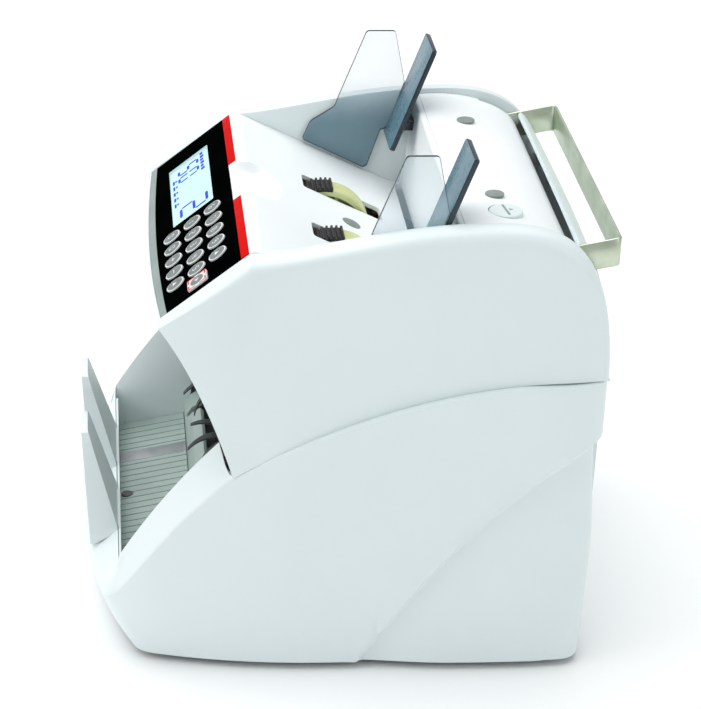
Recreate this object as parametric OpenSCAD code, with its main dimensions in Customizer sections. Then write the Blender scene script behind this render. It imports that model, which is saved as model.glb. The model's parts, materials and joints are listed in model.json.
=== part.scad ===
// Banknote counting machine with a rear hopper, a front stacker and a sloping control panel.
// +Z is up, the stacker and the control panel face -Y, and the feet stand on Z = 0.

/* [Body] */
// Half of the clear width between the hopper walls, and between the stacker cheeks
inner_half = 91.5; // [90:0.5:92]
// Half width over the upper side skins at the rim's shoulder
shoulder_half = 104; // [103:0.5:105]
// Wall thickness of the moulded shells
wall = 2.4; // [1.8:0.1:2.6]
// Height of the rubber feet under the housing
foot_h = 4; // [3:0.5:5]

/* [Hopper] */
// Slope of the hopper floor, falling to the rear, in degrees
hopper_slope = 25.4; // [25:0.1:26]
// Height of the top edge of the note guides
guide_top = 258.6; // [250:0.1:262]

/* [Control panel] */
// Number of key columns on the pad
key_columns = 5; // [3:1:5]
// Distance between key columns
key_pitch_x = 14.1; // [13.5:0.1:14.2]
// Distance between key rows, along the slope
key_pitch_s = 12.5; // [12:0.1:12.6]

/* [Feed] */
// Radius of the feed hubs
feed_r = 24; // [23:0.5:24.5]
// Distance of each feed hub from the middle
feed_x = 31.5; // [30:0.5:32]
// Radius of the vane tips on the stacking wheels
vane_r = 27; // [24:0.5:28]
// Number of vanes on each stacking wheel
vane_count = 12; // [8:1:12]

/* [Hidden] */
$fn = 48;

shell_white = [0.90, 0.92, 0.93];
steel = [0.72, 0.73, 0.75];
rubber_black = [0.08, 0.08, 0.08];
cream = [0.85, 0.87, 0.62];
smoke = [0.32, 0.40, 0.50, 0.55];

// ---- curves -------------------------------------------------------------------------------
function bez2(a, b, c, t) = (1 - t) * (1 - t) * a + 2 * t * (1 - t) * b + t * t * c;
function bez3(a, b, c, d, t) = pow(1 - t, 3) * a + 3 * t * pow(1 - t, 2) * b
  + 3 * t * t * (1 - t) * c + pow(t, 3) * d;
function mix(a, b, t) = a + t * (b - a);
function clamp01(t) = min(1, max(0, t));
function ease(t) = let (u = clamp01(t)) u * u * (3 - 2 * u);
function reversed(list) = [for (i = [len(list) - 1:-1:0]) list[i]];

// Outlines in (Y, Z): nose of the panel, then back over the rim to the seam at the rear
nose = [-89, 179.4];
panel_back = [-46.6, 212.5];
rim_crown = [60, 226.6];
rear_seam = [123, 150.5];
arch_foot = [-53.9, 105.4];
// share of each outline taken by its front stretch
s_panel = 0.2;
s_crown = 0.6;
s_arch = 0.16;

function seam(t) = bez3(arch_foot, [-5, 135], [60, 156], rear_seam, t);
function arch(t) = bez2([-85.4, 174.6], [-68.7, 151.6], arch_foot, t);
function rim(s) = s < s_panel ? mix(nose, panel_back, s / s_panel)
  : s < s_crown ? bez3(panel_back, [-20, 213.5], [20, 226.6], rim_crown, (s - s_panel) / (s_crown - s_panel))
  : bez3(rim_crown, [100, 228.5], [122.5, 216], rear_seam, (s - s_crown) / (1 - s_crown));
function shoulder(s) = s < s_crown
  ? bez3([-88.2, 178.4], [-52, 207], [-10, 212], [60, 213.5], s / s_crown)
  : bez3([60, 213.5], [100, 214.5], [119.5, 203], [119.6, 151], (s - s_crown) / (1 - s_crown));
function skirt(s) = s < s_arch ? arch(s / s_arch)
  : seam(pow((s - s_arch) / (1 - s_arch), 0.85));
// half width of the upper skin: it leans out towards the seam and draws in at the nose
function skin_half(p) = shoulder_half + 0.055 * (213 - p[1]) - 5.5 * pow(clamp01((-52 - p[0]) / 38), 2)
  - 4.5 * pow(clamp01((p[0] - 96) / 27), 2);

// hopper floor: height at a given Y
function floor_z(y) = panel_back[1] - (y + 41.2) * tan(hopper_slope);

// plan curves of the lower housing: half width over Y at the ridge and at the bottom edge
function ridge_half(y) = y < -92.8 ? 107 - 12 * pow((-92.8 - y) / 21.6, 1.6)
  : y < 20 ? 107 + 5 * sin(90 * (y + 92.8) / 112.8)
  : 112 - 2 * pow((y - 20) / 80, 2) - 6 * pow(clamp01((y - 98) / 24), 2);
function hem_half(y) = y < 0 ? 111.8 - 14.5 * pow(-y / 98.2, 2.2)
  : 111.8 + 3.4 * sin(90 * y / 82) - 9 * pow(clamp01((y - 92) / 28), 2);

// ---- solids from rings --------------------------------------------------------------------
// closed solid through a list of rings that all have the same number of points
module loft(rings) {
  n = len(rings[0]);
  m = len(rings);
  points = [for (r = rings) for (p = r) p];
  walls = [for (i = [0:m - 2]) for (j = [0:n - 1]) let (a = i * n + j, b = i * n + (j + 1) % n)
    each [[a, b, b + n], [a, b + n, a + n]]];
  first = [[for (j = [n - 1:-1:0]) j]];
  last = [[for (j = [0:n - 1]) (m - 1) * n + j]];
  polyhedron(points = points, faces = concat(first, walls, last), convexity = 10);
}

// prism of a (Y, Z) outline between two X values
module side_prism(x0, x1) {
  translate([x0, 0, 0]) rotate([90, 0, 90]) linear_extrude(x1 - x0) children();
}

// cylinder along X
module rod(r, x0, x1, y, z) {
  translate([x0, y, z]) rotate([0, 90, 0]) cylinder(r = r, h = x1 - x0);
}

module both_sides() {
  children();
  mirror([1, 0, 0]) children();
}

// frame of the sloping panel: X across, Y up the slope from the black fascia's front edge, Z outward
panel_origin = [0, -84, 182.6];
panel_tilt = atan2(212.5 - 182.6, -46.6 + 84);
function panel_yz(s, n) = [panel_origin[1] + s * cos(panel_tilt) - n * sin(panel_tilt),
  panel_origin[2] + s * sin(panel_tilt) + n * cos(panel_tilt)];
module on_panel() {
  translate(panel_origin) rotate([panel_tilt, 0, 0]) children();
}

// ---- upper cover --------------------------------------------------------------------------
arc_steps = 5;
face_steps = 4;
function ring_upper(s) =
  let (r = rim(s), t = shoulder(s), b = skirt(s),
       th = mix(0.8, wall, clamp01(s / 0.12)),
       front = 1 - ease((s - 0.2) / 0.08),
       tray_z = floor_z(r[0]) - 9,
       kz = mix(max(b[1] + 2, min(tray_z, r[1] - 12)), max(b[1], min(117.8, r[1] - 4)), front),
       k = mix(b, r, (kz - b[1]) / max(1, r[1] - b[1])),
       ht = skin_half(t), hb = skin_half(b), w = ht - inner_half)
  concat(
    [[inner_half, k[0], k[1]]],
    [for (i = [0:arc_steps]) let (f = 90 * i / arc_steps, p = mix(r, t, 1 - cos(f)))
      [inner_half + w * sin(f), p[0], p[1]]],
    [for (i = [1:face_steps]) let (u = i / face_steps, p = mix(t, b, u)) [skin_half(p), p[0], p[1]]],
    [for (i = [face_steps:-1:1]) let (u = i / face_steps, p = mix(t, b, u)) [skin_half(p) - th, p[0], p[1]]],
    [for (i = [arc_steps:-1:0]) let (f = 90 * i / arc_steps, p = mix(r, t, 1 - cos(f)), c = mix(b, p, 0.5),
       q = p + th * (c - p) / max(1, norm(c - p)) * cos(f))
      [inner_half + min(w - th, max(th, w * sin(f) - th * sin(f))), q[0], q[1]]],
    [[inner_half + th, k[0], k[1]]]);

upper_steps = 46;
module cover_side() {
  loft([for (i = [0:upper_steps]) reversed(ring_upper(i / upper_steps))]);
}

bow_r = 1500;
module bowed_front(y) {
  intersection() {
    children();
    translate([0, y + bow_r, 100]) cylinder(r = bow_r, h = 160, $fn = 360);
  }
}

// slot beside the rim that lets each arm of the handle swing up
handle_half = 90.4;
handle_t = 1.5;
handle_pivot = [104, 208.4];
handle_pin_r = 2;
module handle_slots() {
  both_sides() side_prism(handle_half - handle_t - 0.6, inner_half + 0.3)
    polygon([[84, 190], [130, 190], [130, 240], [84, 240]]);
}

module upper_cover() {
  color(shell_white) difference() {
    union() {
      both_sides() cover_side();
      // nose and the shelf under the control panel
      bowed_front(-91.6) side_prism(-inner_half - 0.6, inner_half + 0.6)
        polygon([[-92.4, 174.4], panel_yz(-10.8, 0), panel_yz(1, 0), panel_yz(1, -2.1), [-47.8, 208.9],
                 [-47.8, 206], [-85, 174.4]]);
      // cross wall above the stacker, following the arch of the side skins
      side_prism(-inner_half - 0.6, inner_half + 0.6) polygon(concat(
        [for (i = [0:6]) arch(0.8 * i / 6) + [1.2, 3.2]],
        [for (i = [6:-1:0]) arch(0.8 * i / 6) + [3.6, 4.4]]));
      // pins that the carry handle turns on
      both_sides() rod(handle_pin_r, handle_half - handle_t - 0.2, inner_half + 0.5, handle_pivot[0],
        handle_pivot[1]);
    }
    // room under the fascia for the display and the keys
    on_panel() translate([-80, -0.2, -14]) cube([170.6, 39.7, 12.2]);
    // recess that the fascia and its grey trim lie in
    on_panel() translate([0, 0, -1.8]) linear_extrude(6) polygon(concat(
      [for (x = [-10:10]) [x * 9.14, trim_front(x * 9.14) - 0.25]], [[91.4, 3], [-91.4, 3]]));
    // clearance for the finger scoop of the tray
    translate([scoop_mid - scoop_half - 3, -52, 200]) cube([2 * scoop_half + 6, 10, 20]);
    // holes for the guide rail and for the arms of its bracket
    both_sides() rod(3.3, 90, 95, rail_at[0], rail_at[1]);
    both_sides() translate([90, 83.5, 195.5]) cube([5, 5, 3]);
  }
}

// ---- hopper tray --------------------------------------------------------------------------
valley = [41, floor_z(41)];
deck_front = [49.5, 222.6];
tray_half = inner_half - 0.3;
slot_y0 = -13;
slot_y1 = 28;
slot_half = 8.5;
hopper_lens_y = 9.5;
module floor_slab(y0, y1, up, down, x0, x1) {
  side_prism(x0, x1) polygon([[y0, floor_z(y0) + up], [y1, floor_z(y1) + up],
    [y1, floor_z(y1) - down], [y0, floor_z(y0) - down]]);
}
// finger scoop in the middle of the front edge
scoop_mid = -2.6;
scoop_half = 21;
module scoop_plan(grow) {
  polygon(concat([for (a = [0:12:180])
    [scoop_mid + (scoop_half + grow) * cos(a), -38 + (13 + grow) * sin(a)]],
    [[scoop_mid - scoop_half - grow, -55], [scoop_mid + scoop_half + grow, -55]]));
}
module hopper_tray() {
  color(shell_white) difference() {
    union() {
      floor_slab(-41.2, valley[0], 0, 2.2, -tray_half, tray_half);
      side_prism(-tray_half, tray_half)
        polygon([[-46.4, 212.5], [-41.2, 212.5], [-40, 209.7], [-46.4, 210.3]]);
      // rear wall above the valley
      side_prism(-tray_half, tray_half)
        polygon([[45.2, 176], deck_front, deck_front + [2.2, -0.4], [47.4, 175.6]]);
      // end cheeks that join the floor to the rear wall under the valley
      both_sides() side_prism(tray_half - 2, tray_half) polygon([[36, floor_z(36)], [41, 170], [47, 170],
        [47.4, 182], [45.4, 182], [44, 173.6]]);
      // tub under the finger scoop
      intersection() {
        translate([0, 0, 195]) linear_extrude(25) scoop_plan(1.5);
        side_prism(-30, 30) polygon([[-49.4, 206.7], [-29.5, 201.6], [-21, 201.6], [-21, floor_z(-21) - 0.2],
          [-41.2, 212.4], [-46.4, 212.5], [-49.4, 209.9]]);
      }
    }
    intersection() {
      translate([0, 0, 195]) linear_extrude(30) scoop_plan(0);
      side_prism(-30, 30) polygon([[-53, 209.6], [-30, 204], [-24, 205.6], [-23, 215], [-53, 224]]);
    }
    // roller slots
    both_sides() floor_slab(slot_y0, slot_y1, 8, 8, feed_x - slot_half, feed_x + slot_half);
    // seat of the hopper sensor lens
    translate([0, hopper_lens_y, 170]) cylinder(r = 5.3, h = 30);
    // slot for the feet of the note guides
    side_prism(-89.7, 89.7) polygon([[40, 207.2], [60, 207.2], [60, 214.4], [40, 214.4]]);
  }
}

// ---- rear deck ----------------------------------------------------------------------------
knob_at = [70, 74];
plug_at = [50.2, 71.6];
deck_z = 223.6;
deck_drop = [[deck_front[0] + 3, deck_z - 0.4], [62, deck_z], [80, 222.6], [94, 218.4], [103.6, 212.6]];
module rear_deck() {
  color(shell_white) difference() {
    side_prism(-tray_half, tray_half) polygon(concat(deck_drop,
      [for (i = [4:-1:0]) deck_drop[i] - [0.4, 2.4]]));
    translate([knob_at[0], knob_at[1], 200]) cylinder(r = 4.4, h = 40);
    translate([knob_at[0], knob_at[1], deck_z - 1.9]) cylinder(r = 8.3, h = 10);
    both_sides() translate([plug_at[0], plug_at[1], 200]) cylinder(r = 3.1, h = 40);
    handle_slots();
  }
}

// ---- lower housing ------------------------------------------------------------------------
function cheek_in(t) = bez2([-113, 45.6], [-90, 85.9], [-58.4, 117.2], t);
function ridge(t) = bez2([-114.4, 28.6], [-91.4, 72.3], arch_foot, t);
// height of the swoosh line over Y, and how far the wall steps in below it
function swoosh_z(y) = 2.5 + 1.666 * (y - 6) - 0.0055 * pow(y - 6, 2);
function dent(y, z) = let (d = swoosh_z(y) - z)
  y < 4 ? 0 : (2.2 + 1.8 * ease((y - 60) / 55)) * ease(d / 6) * (1 - ease(d / 65));
corner_y = 100;
ledge_x = 103.2;
// share of the height, from the top edge o to the bottom edge h, at which the swoosh line crosses
function crossing(o, h, a, b, n) = n == 0 ? (a + b) / 2 : let (m = (a + b) / 2, p = mix(o, h, m))
  swoosh_z(p[1]) > p[2] ? crossing(o, h, a, m, n - 1) : crossing(o, h, m, b, n - 1);
// rows of a wall section: some above the line, two that hold its step, and some below
function face_rows(o, h) =
  let (c = min(0.9, max(0.12, crossing(o, h, 0, 1, 9))), e = c + min(0.06, (1 - c) / 2))
  [0.04, 0.35 * c, 0.7 * c, c, e, mix(e, 1, 0.2), mix(e, 1, 0.45), mix(e, 1, 0.7), 1];
// one section of the side wall: top edge at o, bottom edge at h, both (X, Y, Z), seen along
// the wall; n is the outward direction in plan
function wall_rows(o, h, n, t, rows) = [for (u = rows) let (p = mix(o, h, u),
  out = 1.1 * sin(180 * u) - dent(p[1], p[2]) - t) [p[0] + n[0] * out, p[1] + n[1] * out, p[2]]];
function ring_wall(i, o, h, n, low, lift = 0.4) =
  let (q = mix(i, o, 0.85) + [0, 0, lift], rows = face_rows(o, h))
  concat([[i[0], i[1], low], i, q, o], wall_rows(o, h, n, 0, rows), wall_rows(o, h, n, wall, reversed(rows)),
    [mix(i, o, 0.78) + [0, 0, 0.8 * lift - wall - 0.9],
     [i[0] + wall * n[0], i[1] + wall * n[1], i[2] - wall - 0.6],
     [i[0] + wall * n[0], i[1] + wall * n[1], low]]);
// front stretch beside the stacker, f = 0 at the front corner and 1 under the cover's foot
function ring_cheek(f) = let (a = cheek_in(f), b = ridge(f), y = mix(-98.2, -40, f))
  ring_wall([f < 1 ? inner_half : ledge_x, a[0], f < 1 ? a[1] : b[1] + 1.4], [ridge_half(b[0]), b[0], b[1]],
    [hem_half(y), y, foot_h], [1, 0], max(28, mix(a[1] - 78, 102, ease((f - 0.84) / 0.1))));
// long stretch under the upper cover
function ring_ledge(g) = let (b = seam(0.78 * g), y = mix(-40, corner_y, g), i = b - [0, 0.6])
  ring_wall([ledge_x, i[0], i[1]], [ridge_half(b[0]), b[0], b[1] - 1], [hem_half(y), y, foot_h], [1, 0],
    i[1] - 4.5);
// rounded rear corner, w from 0 at the side to 90 at the back
function ring_corner(w) = let (e = seam(0.78), x1 = ridge_half(e[0]), x2 = hem_half(corner_y),
    zt = mix(e[1], rear_seam[1], sin(w)) - 1, c = cos(w), d = sin(w), n = [c, d] / norm([c, d]))
  ring_wall([inner_half + (ledge_x - inner_half) * c, e[0] + (rear_seam[0] - 6 - e[0]) * d, zt + 0.4],
    [inner_half + (x1 - inner_half) * c, e[0] + (rear_seam[0] - e[0]) * d, zt],
    [inner_half + (x2 - inner_half) * c, corner_y + (118 - corner_y) * d, foot_h], n, zt - 4.5);

// front wall below the stacker, at the width x
function front_y(x) = -126 + x * x / 810;
function hem_y(x) = -115.4 + x * x / 556;
front_half = 88;
fence_y = -107.5;
front_lift = 2.6;
function ring_front(x) =
  ring_wall([x, fence_y, 49], [x, front_y(x), 34], [x, hem_y(x), foot_h], [0, -1], 28, front_lift);
// rounded front corner, w from 0 at the front wall to 1 at the cheek
cheek_start = 0.12;
function ring_turn(w) = let (f = cheek_start, a = cheek_in(f), b = ridge(f), y = mix(-98.2, -40, f))
  ring_wall(mix([front_half, fence_y, 49], [inner_half, a[0], a[1]], w),
    bez2([front_half, front_y(front_half), 34], [95.5, -116, 33], [ridge_half(b[0]), b[0], b[1]], w),
    bez2([front_half, hem_y(front_half), foot_h], [96.5, -100.5, foot_h], [hem_half(y), y, foot_h], w),
    [sin(90 * w), -cos(90 * w)], 28, mix(front_lift, 0.4, w));
front_steps = 12;
module lower_housing() {
  side = concat([for (k = [7:-1:1]) ring_corner(90 * k / 7)],
    [for (k = [18:-1:0]) ring_ledge(mix(0.012, 1, k / 18))],
    [for (k = [12:-1:0]) ring_cheek(mix(cheek_start, 1, k / 12))],
    [for (k = [3:-1:1]) ring_turn(k / 4)]);
  color(shell_white) loft(concat(side,
    [for (k = [0:front_steps]) ring_front(mix(front_half, -front_half, k / front_steps))],
    [for (r = reversed(side)) [for (q = r) [-q[0], q[1], q[2]]]]));
}

// ---- base and feet ------------------------------------------------------------------------
module base_plate() {
  color(steel) difference() {
    union() {
      translate([-94, -96, 5]) cube([188, 206, 1.5]);
      both_sides() translate([92.5, -96, 5]) cube([1.5, 206, 9]);
    }
    for (x = [-80, 80], y = [-84, 98]) translate([x, y, 0]) cylinder(r = 2.2, h = 10);
    for (x = [-40:10:40]) translate([x - 2, 20, 0]) cube([4, 40, 10]);
  }
}
module rubber_feet() {
  color(rubber_black) for (x = [-80, 80], y = [-84, 98]) translate([x, y, 0])
    rotate_extrude() polygon([[0, 0], [7.4, 0], [8, 0.8], [9, 5], [2, 5], [2, 7.6], [0, 7.6]]);
}

// ---- rear cover ---------------------------------------------------------------------------
back_bow = 2.6;
function back_line(u) = u < 0.45
  ? bez3([106.4, 214.2], [113.5, 210], [122.5, 190], [123, 150.5], u / 0.45)
  : bez3([123, 150.5], [121, 120], [122.5, 60], [117.5, foot_h], (u - 0.45) / 0.55);
back_steps = 16;
function ring_back(x) = let (b = back_bow * (1 - pow(x / tray_half, 2)))
  concat([[x, 105.2 + b * 0.3, 211.8]],
    [for (i = [0:back_steps]) let (p = back_line(i / back_steps)) [x, p[0] + b * ease(i / 5), p[1]]],
    [for (i = [back_steps:-1:1]) let (p = back_line(i / back_steps))
      [x, p[0] + b * ease(i / 5) - wall, p[1]]],
    [[x, 107 + b * 0.3, 209.4]]);
inlet_at = [-62, 24];
switch_at = [-62, 54];
module rear_cover() {
  color(shell_white) difference() {
    loft([for (i = [0:14]) ring_back(mix(-tray_half, tray_half, i / 14))]);
    translate([inlet_at[0] - 14, 100, inlet_at[1] - 10]) cube([28, 40, 20]);
    translate([switch_at[0] - 10, 100, switch_at[1] - 7]) cube([20, 40, 14]);
    for (z = [110:8:158]) translate([-40, 100, z]) cube([80, 40, 3]);
    handle_slots();
  }
}

// ---- control panel ------------------------------------------------------------------------
panel_half = inner_half - 0.3;
fascia_t = 1.6;
lcd_x0 = -74.4;
lcd_x1 = 0.4;
lcd_s0 = 6.4;
lcd_s1 = 31.8;
key_x0 = 11.2;
key_s0 = 5.7;
// half length of a key across and along the slope, and half size of the start key
key_a = 5.4;
key_b = 5.0;
start_half = [5.8, 5.8];
start_at = [81.2, key_s0 + key_pitch_s];
key_gap = 0.3;
module key_holes() {
  for (r = [0:2], c = [0:key_columns - 1])
    translate([key_x0 + c * key_pitch_x, key_s0 + r * key_pitch_s]) oval(key_gap);
  translate(start_at) square(2 * start_half + 2 * [key_gap, key_gap], center = true);
}
// oval with round ends, from exact circles and a square
module oval(grow = 0) {
  for (d = [-1, 1]) translate([d * (key_a - key_b), 0]) circle(r = key_b + grow);
  square([2 * (key_a - key_b), 2 * (key_b + grow)], center = true);
}
// bowed front edges of the black fascia and of the grey trim along it
function fascia_front(x) = -0.4 - 3.5 * (1 - pow(x / panel_half, 2));
function trim_front(x) = fascia_front(x) - 3.6 - 0.7 * (1 - pow(x / panel_half, 2));
bow_points = 10;
function across(i) = panel_half * i / bow_points;
stripe_s0 = 42.8;
notch_x0 = scoop_mid - scoop_half - 2;
notch_x1 = scoop_mid + scoop_half + 1.9;
module beside_notch(s0, s1) {
  translate([-panel_half, s0]) square([panel_half + notch_x0, s1 - s0]);
  translate([notch_x1, s0]) square([panel_half - notch_x1, s1 - s0]);
}
module control_panel() {
  color([0.02, 0.02, 0.02]) on_panel() translate([0, 0, -fascia_t]) {
    linear_extrude(fascia_t) difference() {
      polygon(concat([for (i = [-bow_points:bow_points]) [across(i), fascia_front(across(i))]],
        [[panel_half, stripe_s0 - 0.2], [-panel_half, stripe_s0 - 0.2]]));
      translate([lcd_x0, lcd_s0]) square([lcd_x1 - lcd_x0, lcd_s1 - lcd_s0]);
      key_holes();
    }
    // ledge that carries the red stripe
    linear_extrude(fascia_t - stripe_t - 0.05) beside_notch(stripe_s0 - 1, stripe_s1 - 0.7);
  }
}
stripe_t = 0.8;
stripe_s1 = 47.1;
module stripe_trim() {
  color([0.85, 0.02, 0.02]) on_panel() translate([0, 0, -stripe_t]) linear_extrude(stripe_t)
    beside_notch(stripe_s0, stripe_s1);
}
module panel_edge_trim() {
  color([0.52, 0.58, 0.57]) on_panel() translate([0, 0, -1.2]) linear_extrude(1.2)
    polygon(concat([for (i = [-bow_points:bow_points]) [across(i), trim_front(across(i))]],
      [for (i = [bow_points:-1:-bow_points]) [across(i), fascia_front(across(i)) - 0.1]]));
}
module lcd_display() {
  color([0.75, 0.92, 0.96]) on_panel() translate([lcd_x0 + 0.2, lcd_s0 + 0.2, -3.1])
    cube([lcd_x1 - lcd_x0 - 0.4, lcd_s1 - lcd_s0 - 0.4, 2.5]);
}
module panel_board() {
  color([0.05, 0.35, 0.18]) on_panel() difference() {
    translate([-86, 1.5, -8.6]) cube([174.5, 36, 1.6]);
    for (x = [-82, 84], s = [5, 34]) translate([x, s, -9]) cylinder(r = 1.6, h = 3);
  }
}
// height of a key over the fascia, and depth of its stem
key_rise = 1.0;
key_stem = 3.4;
module panel_key(i) {
  c = (i - 1) % 5;
  r = floor((i - 1) / 5);
  color([0.45, 0.47, 0.48]) on_panel()
    translate([key_x0 + c * key_pitch_x, key_s0 + r * key_pitch_s, -key_stem]) {
      linear_extrude(key_stem + key_rise) oval();
      linear_extrude(0.9) oval(0.5);
    }
}
module key_start() {
  color([0.75, 0.10, 0.10]) on_panel() translate([start_at[0], start_at[1], -key_stem]) {
    linear_extrude(key_stem + key_rise) square(2 * start_half, center = true);
    linear_extrude(0.9) square(2 * start_half + [1, 1], center = true);
  }
}

// ---- stacker ------------------------------------------------------------------------------
finger_in = 15;
finger_out = 57;
module finger() {
  // tapered finger with a wedge-shaped side profile
  intersection() {
    side_prism(0, 60) polygon([[-125.2, 97], [-121.8, 97], [-107.7, 50], [-107.7, 47.5], [-119.6, 41.2],
                               [-121.2, 41.2]]);
    translate([0, -100, 0]) rotate([90, 0, 0]) linear_extrude(40) polygon([[17.5, 90], [19.5, 96], [23, 97.5],
      [38, 97.5], [42.5, 96], [44.5, 91], [finger_out, 46], [finger_out, 38], [finger_in - 5, 38],
      [finger_in - 5, 46]]);
  }
}
module stacker_fence() {
  color(shell_white) {
    both_sides() finger();
    translate([-88, -107.3, 33.4]) cube([176, 1.2, 15.8]);
    both_sides() translate([finger_in, -108.2, 46.8]) cube([38, 1.6, 2.4]);
  }
}
stack_y0 = -105.8;
stack_y1 = -70.3;
function stack_z(y) = mix(31.5, 38.3, (y + 104.7) / 35.2);
module stack_slab(x0, x1, up, down) {
  side_prism(x0, x1) polygon([[stack_y0, stack_z(stack_y0) + up], [stack_y1, stack_z(stack_y1) + up],
    [stack_y1, stack_z(stack_y1) - down], [stack_y0, stack_z(stack_y0) - down]]);
}
groove_pitch = 6;
strip_x = [46, 57];
stack_lens = [-10.5, -102.2];
module stacker_floor() {
  color([0.82, 0.85, 0.84]) difference() {
    stack_slab(-inner_half + 0.2, inner_half - 0.2, 0, 2.6);
    for (x = [-84:groove_pitch:84]) if (abs(abs(x) - 51.5) > 7) stack_slab(x - 0.4, x + 0.4, 1, 0.6);
    both_sides() stack_slab(strip_x[0] - 0.1, strip_x[1] + 0.1, 1, 0.8);
    translate([stack_lens[0], stack_lens[1], 20]) cylinder(r = 3.2, h = 20);
  }
}
module stacker_strips() {
  color(steel) both_sides() stack_slab(strip_x[0], strip_x[1], 0.2, 0.7);
}
module sensor_lenses() {
  color([0.35, 0.38, 0.38]) {
    translate([stack_lens[0], stack_lens[1], stack_z(stack_lens[1]) - 2.4]) cylinder(r = 3, h = 3);
    // lens in the hopper floor, square to the slope
    translate([0, hopper_lens_y, floor_z(hopper_lens_y)]) rotate([-hopper_slope, 0, 0])
      translate([0, 0, -2]) cylinder(r = 4.9, h = 2.2);
  }
}
comb_face = [[-69.9, 30.5], [-69.9, 42], [-69.2, 45.6], [-66.6, 49.4], [-62, 52.4]];
module stacker_comb() {
  color([0.84, 0.87, 0.87]) difference() {
    side_prism(-inner_half + 0.3, inner_half - 0.3) polygon(concat(comb_face, [[-60, 50.8], [-64.8, 47.6],
      [-67, 44.8], [-67.6, 42], [-67.6, 30.5]]));
    for (x = [-72, 0, 72]) translate([x - 3, -72, 44]) cube([6, 14, 12]);
  }
}

// ---- frames and shafts --------------------------------------------------------------------
frame_x = [95, 96.5];
feed_axis = [-2, 172];
transport_axis = [36, 148];
impeller_axis = [-46, 84];
motor_axis = [40, 62];
shaft_r = 4;
bush_r = 7;
axes_yz = [feed_axis, transport_axis, impeller_axis];
module frame_plate() {
  side_prism(frame_x[0], frame_x[1]) difference() {
    polygon([[-62, 14.5], [-62, 96], [-38, 112], [-28, 190], [44, 168], [52, 216], [72, 216], [84, 206],
      [104, 190], [104, 14.5]]);
    for (a = axes_yz) translate(a) circle(r = bush_r + 0.02);
    translate(motor_axis) circle(r = 6);
    translate([40, 100]) circle(r = 14);
    translate([72, 140]) circle(r = 18);
  }
}
module side_frames() {
  color(steel) {
    both_sides() frame_plate();
    both_sides() translate([94.2, -60, 6.6]) cube([frame_x[0] - 94.2, 160, 22]);
    rod(3, -95, 95, 92, 120);
    rod(3, -95, 95, -14, 54);
  }
}
module shaft_bushes() {
  color([0.75, 0.6, 0.3]) both_sides() for (a = axes_yz) difference() {
    union() {
      rod(bush_r, frame_x[0] - 1.4, frame_x[1], a[0], a[1]);
      rod(bush_r + 1.6, frame_x[0] - 2.2, frame_x[0] - 0.02, a[0], a[1]);
    }
    rod(shaft_r + 0.05, 80, 110, a[0], a[1]);
  }
}
pulley_x = [-101.6, -97.4];
feed_pulley_r = 11;
transport_pulley_r = 11;
impeller_pulley_r = 16.5;
motor_pulley_r = 7;
module shaft_with_pulley(a, r) {
  color(steel) rod(shaft_r, -101.8, 97.6, a[0], a[1]);
  color([0.2, 0.2, 0.22]) difference() {
    rod(r, pulley_x[0], pulley_x[1], a[0], a[1]);
    for (k = [0:4]) translate([0, a[0], a[1]]) rotate([72 * k, 0, 0]) rod(r * 0.17, -110, -90, 0, r * 0.66);
  }
}
module feed_shaft() shaft_with_pulley(feed_axis, feed_pulley_r);
module transport_shaft() shaft_with_pulley(transport_axis, transport_pulley_r);
module impeller_shaft() shaft_with_pulley(impeller_axis, impeller_pulley_r);

feed_half = 7;
tyre_r = 25.8;
tyre_arc = [79, 176];
tyre_ribs = 18;
module feed_rollers() {
  color(cream) both_sides() difference() {
    rod(feed_r, feed_x - feed_half, feed_x + feed_half, feed_axis[0], feed_axis[1]);
    rod(shaft_r + 0.02, 0, 60, feed_axis[0], feed_axis[1]);
    difference() {
      rod(feed_r - 3, feed_x + 1.5, feed_x + 9, feed_axis[0], feed_axis[1]);
      rod(9, feed_x, feed_x + 10, feed_axis[0], feed_axis[1]);
    }
    difference() {
      rod(feed_r - 3, feed_x - 9, feed_x - 1.5, feed_axis[0], feed_axis[1]);
      rod(9, feed_x - 10, feed_x, feed_axis[0], feed_axis[1]);
    }
    // seat of the tyre pad
    translate([feed_x - 9, feed_axis[0], feed_axis[1]]) rotate([90, 0, 90]) linear_extrude(18)
      sector(feed_r - 2.02, feed_r + 1, tyre_arc[0] - 0.4, tyre_arc[1] + 0.4);
  }
}
// part of a flat ring between two angles
module sector(r0, r1, a0, a1, steps = 24) {
  polygon(concat([for (i = [0:steps]) let (a = mix(a0, a1, i / steps)) r1 * [cos(a), sin(a)]],
    [for (i = [steps:-1:0]) let (a = mix(a0, a1, i / steps)) r0 * [cos(a), sin(a)]]));
}
module feed_tyres() {
  color(rubber_black) both_sides() translate([feed_x - feed_half, feed_axis[0], feed_axis[1]])
    rotate([90, 0, 90]) linear_extrude(2 * feed_half) {
      sector(feed_r - 2, tyre_r - 1.2, tyre_arc[0], tyre_arc[1]);
      for (k = [0:tyre_ribs - 1]) let (a = mix(tyre_arc[0] + 1, tyre_arc[1] - 4, k / (tyre_ribs - 1)))
        sector(tyre_r - 1.4, tyre_r, a, a + 3, 2);
    }
}
transport_r = 15;
module transport_rollers() {
  color([0.25, 0.25, 0.26]) for (x = [-70, -54, 0, 54, 70]) difference() {
    rod(transport_r, x - 5, x + 5, transport_axis[0], transport_axis[1]);
    rod(shaft_r + 0.02, x - 10, x + 10, transport_axis[0], transport_axis[1]);
  }
}
hub_r = 8.5;
vane_t = 1.4;
vane_slant = 24;
wheel_w = 6;
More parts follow.
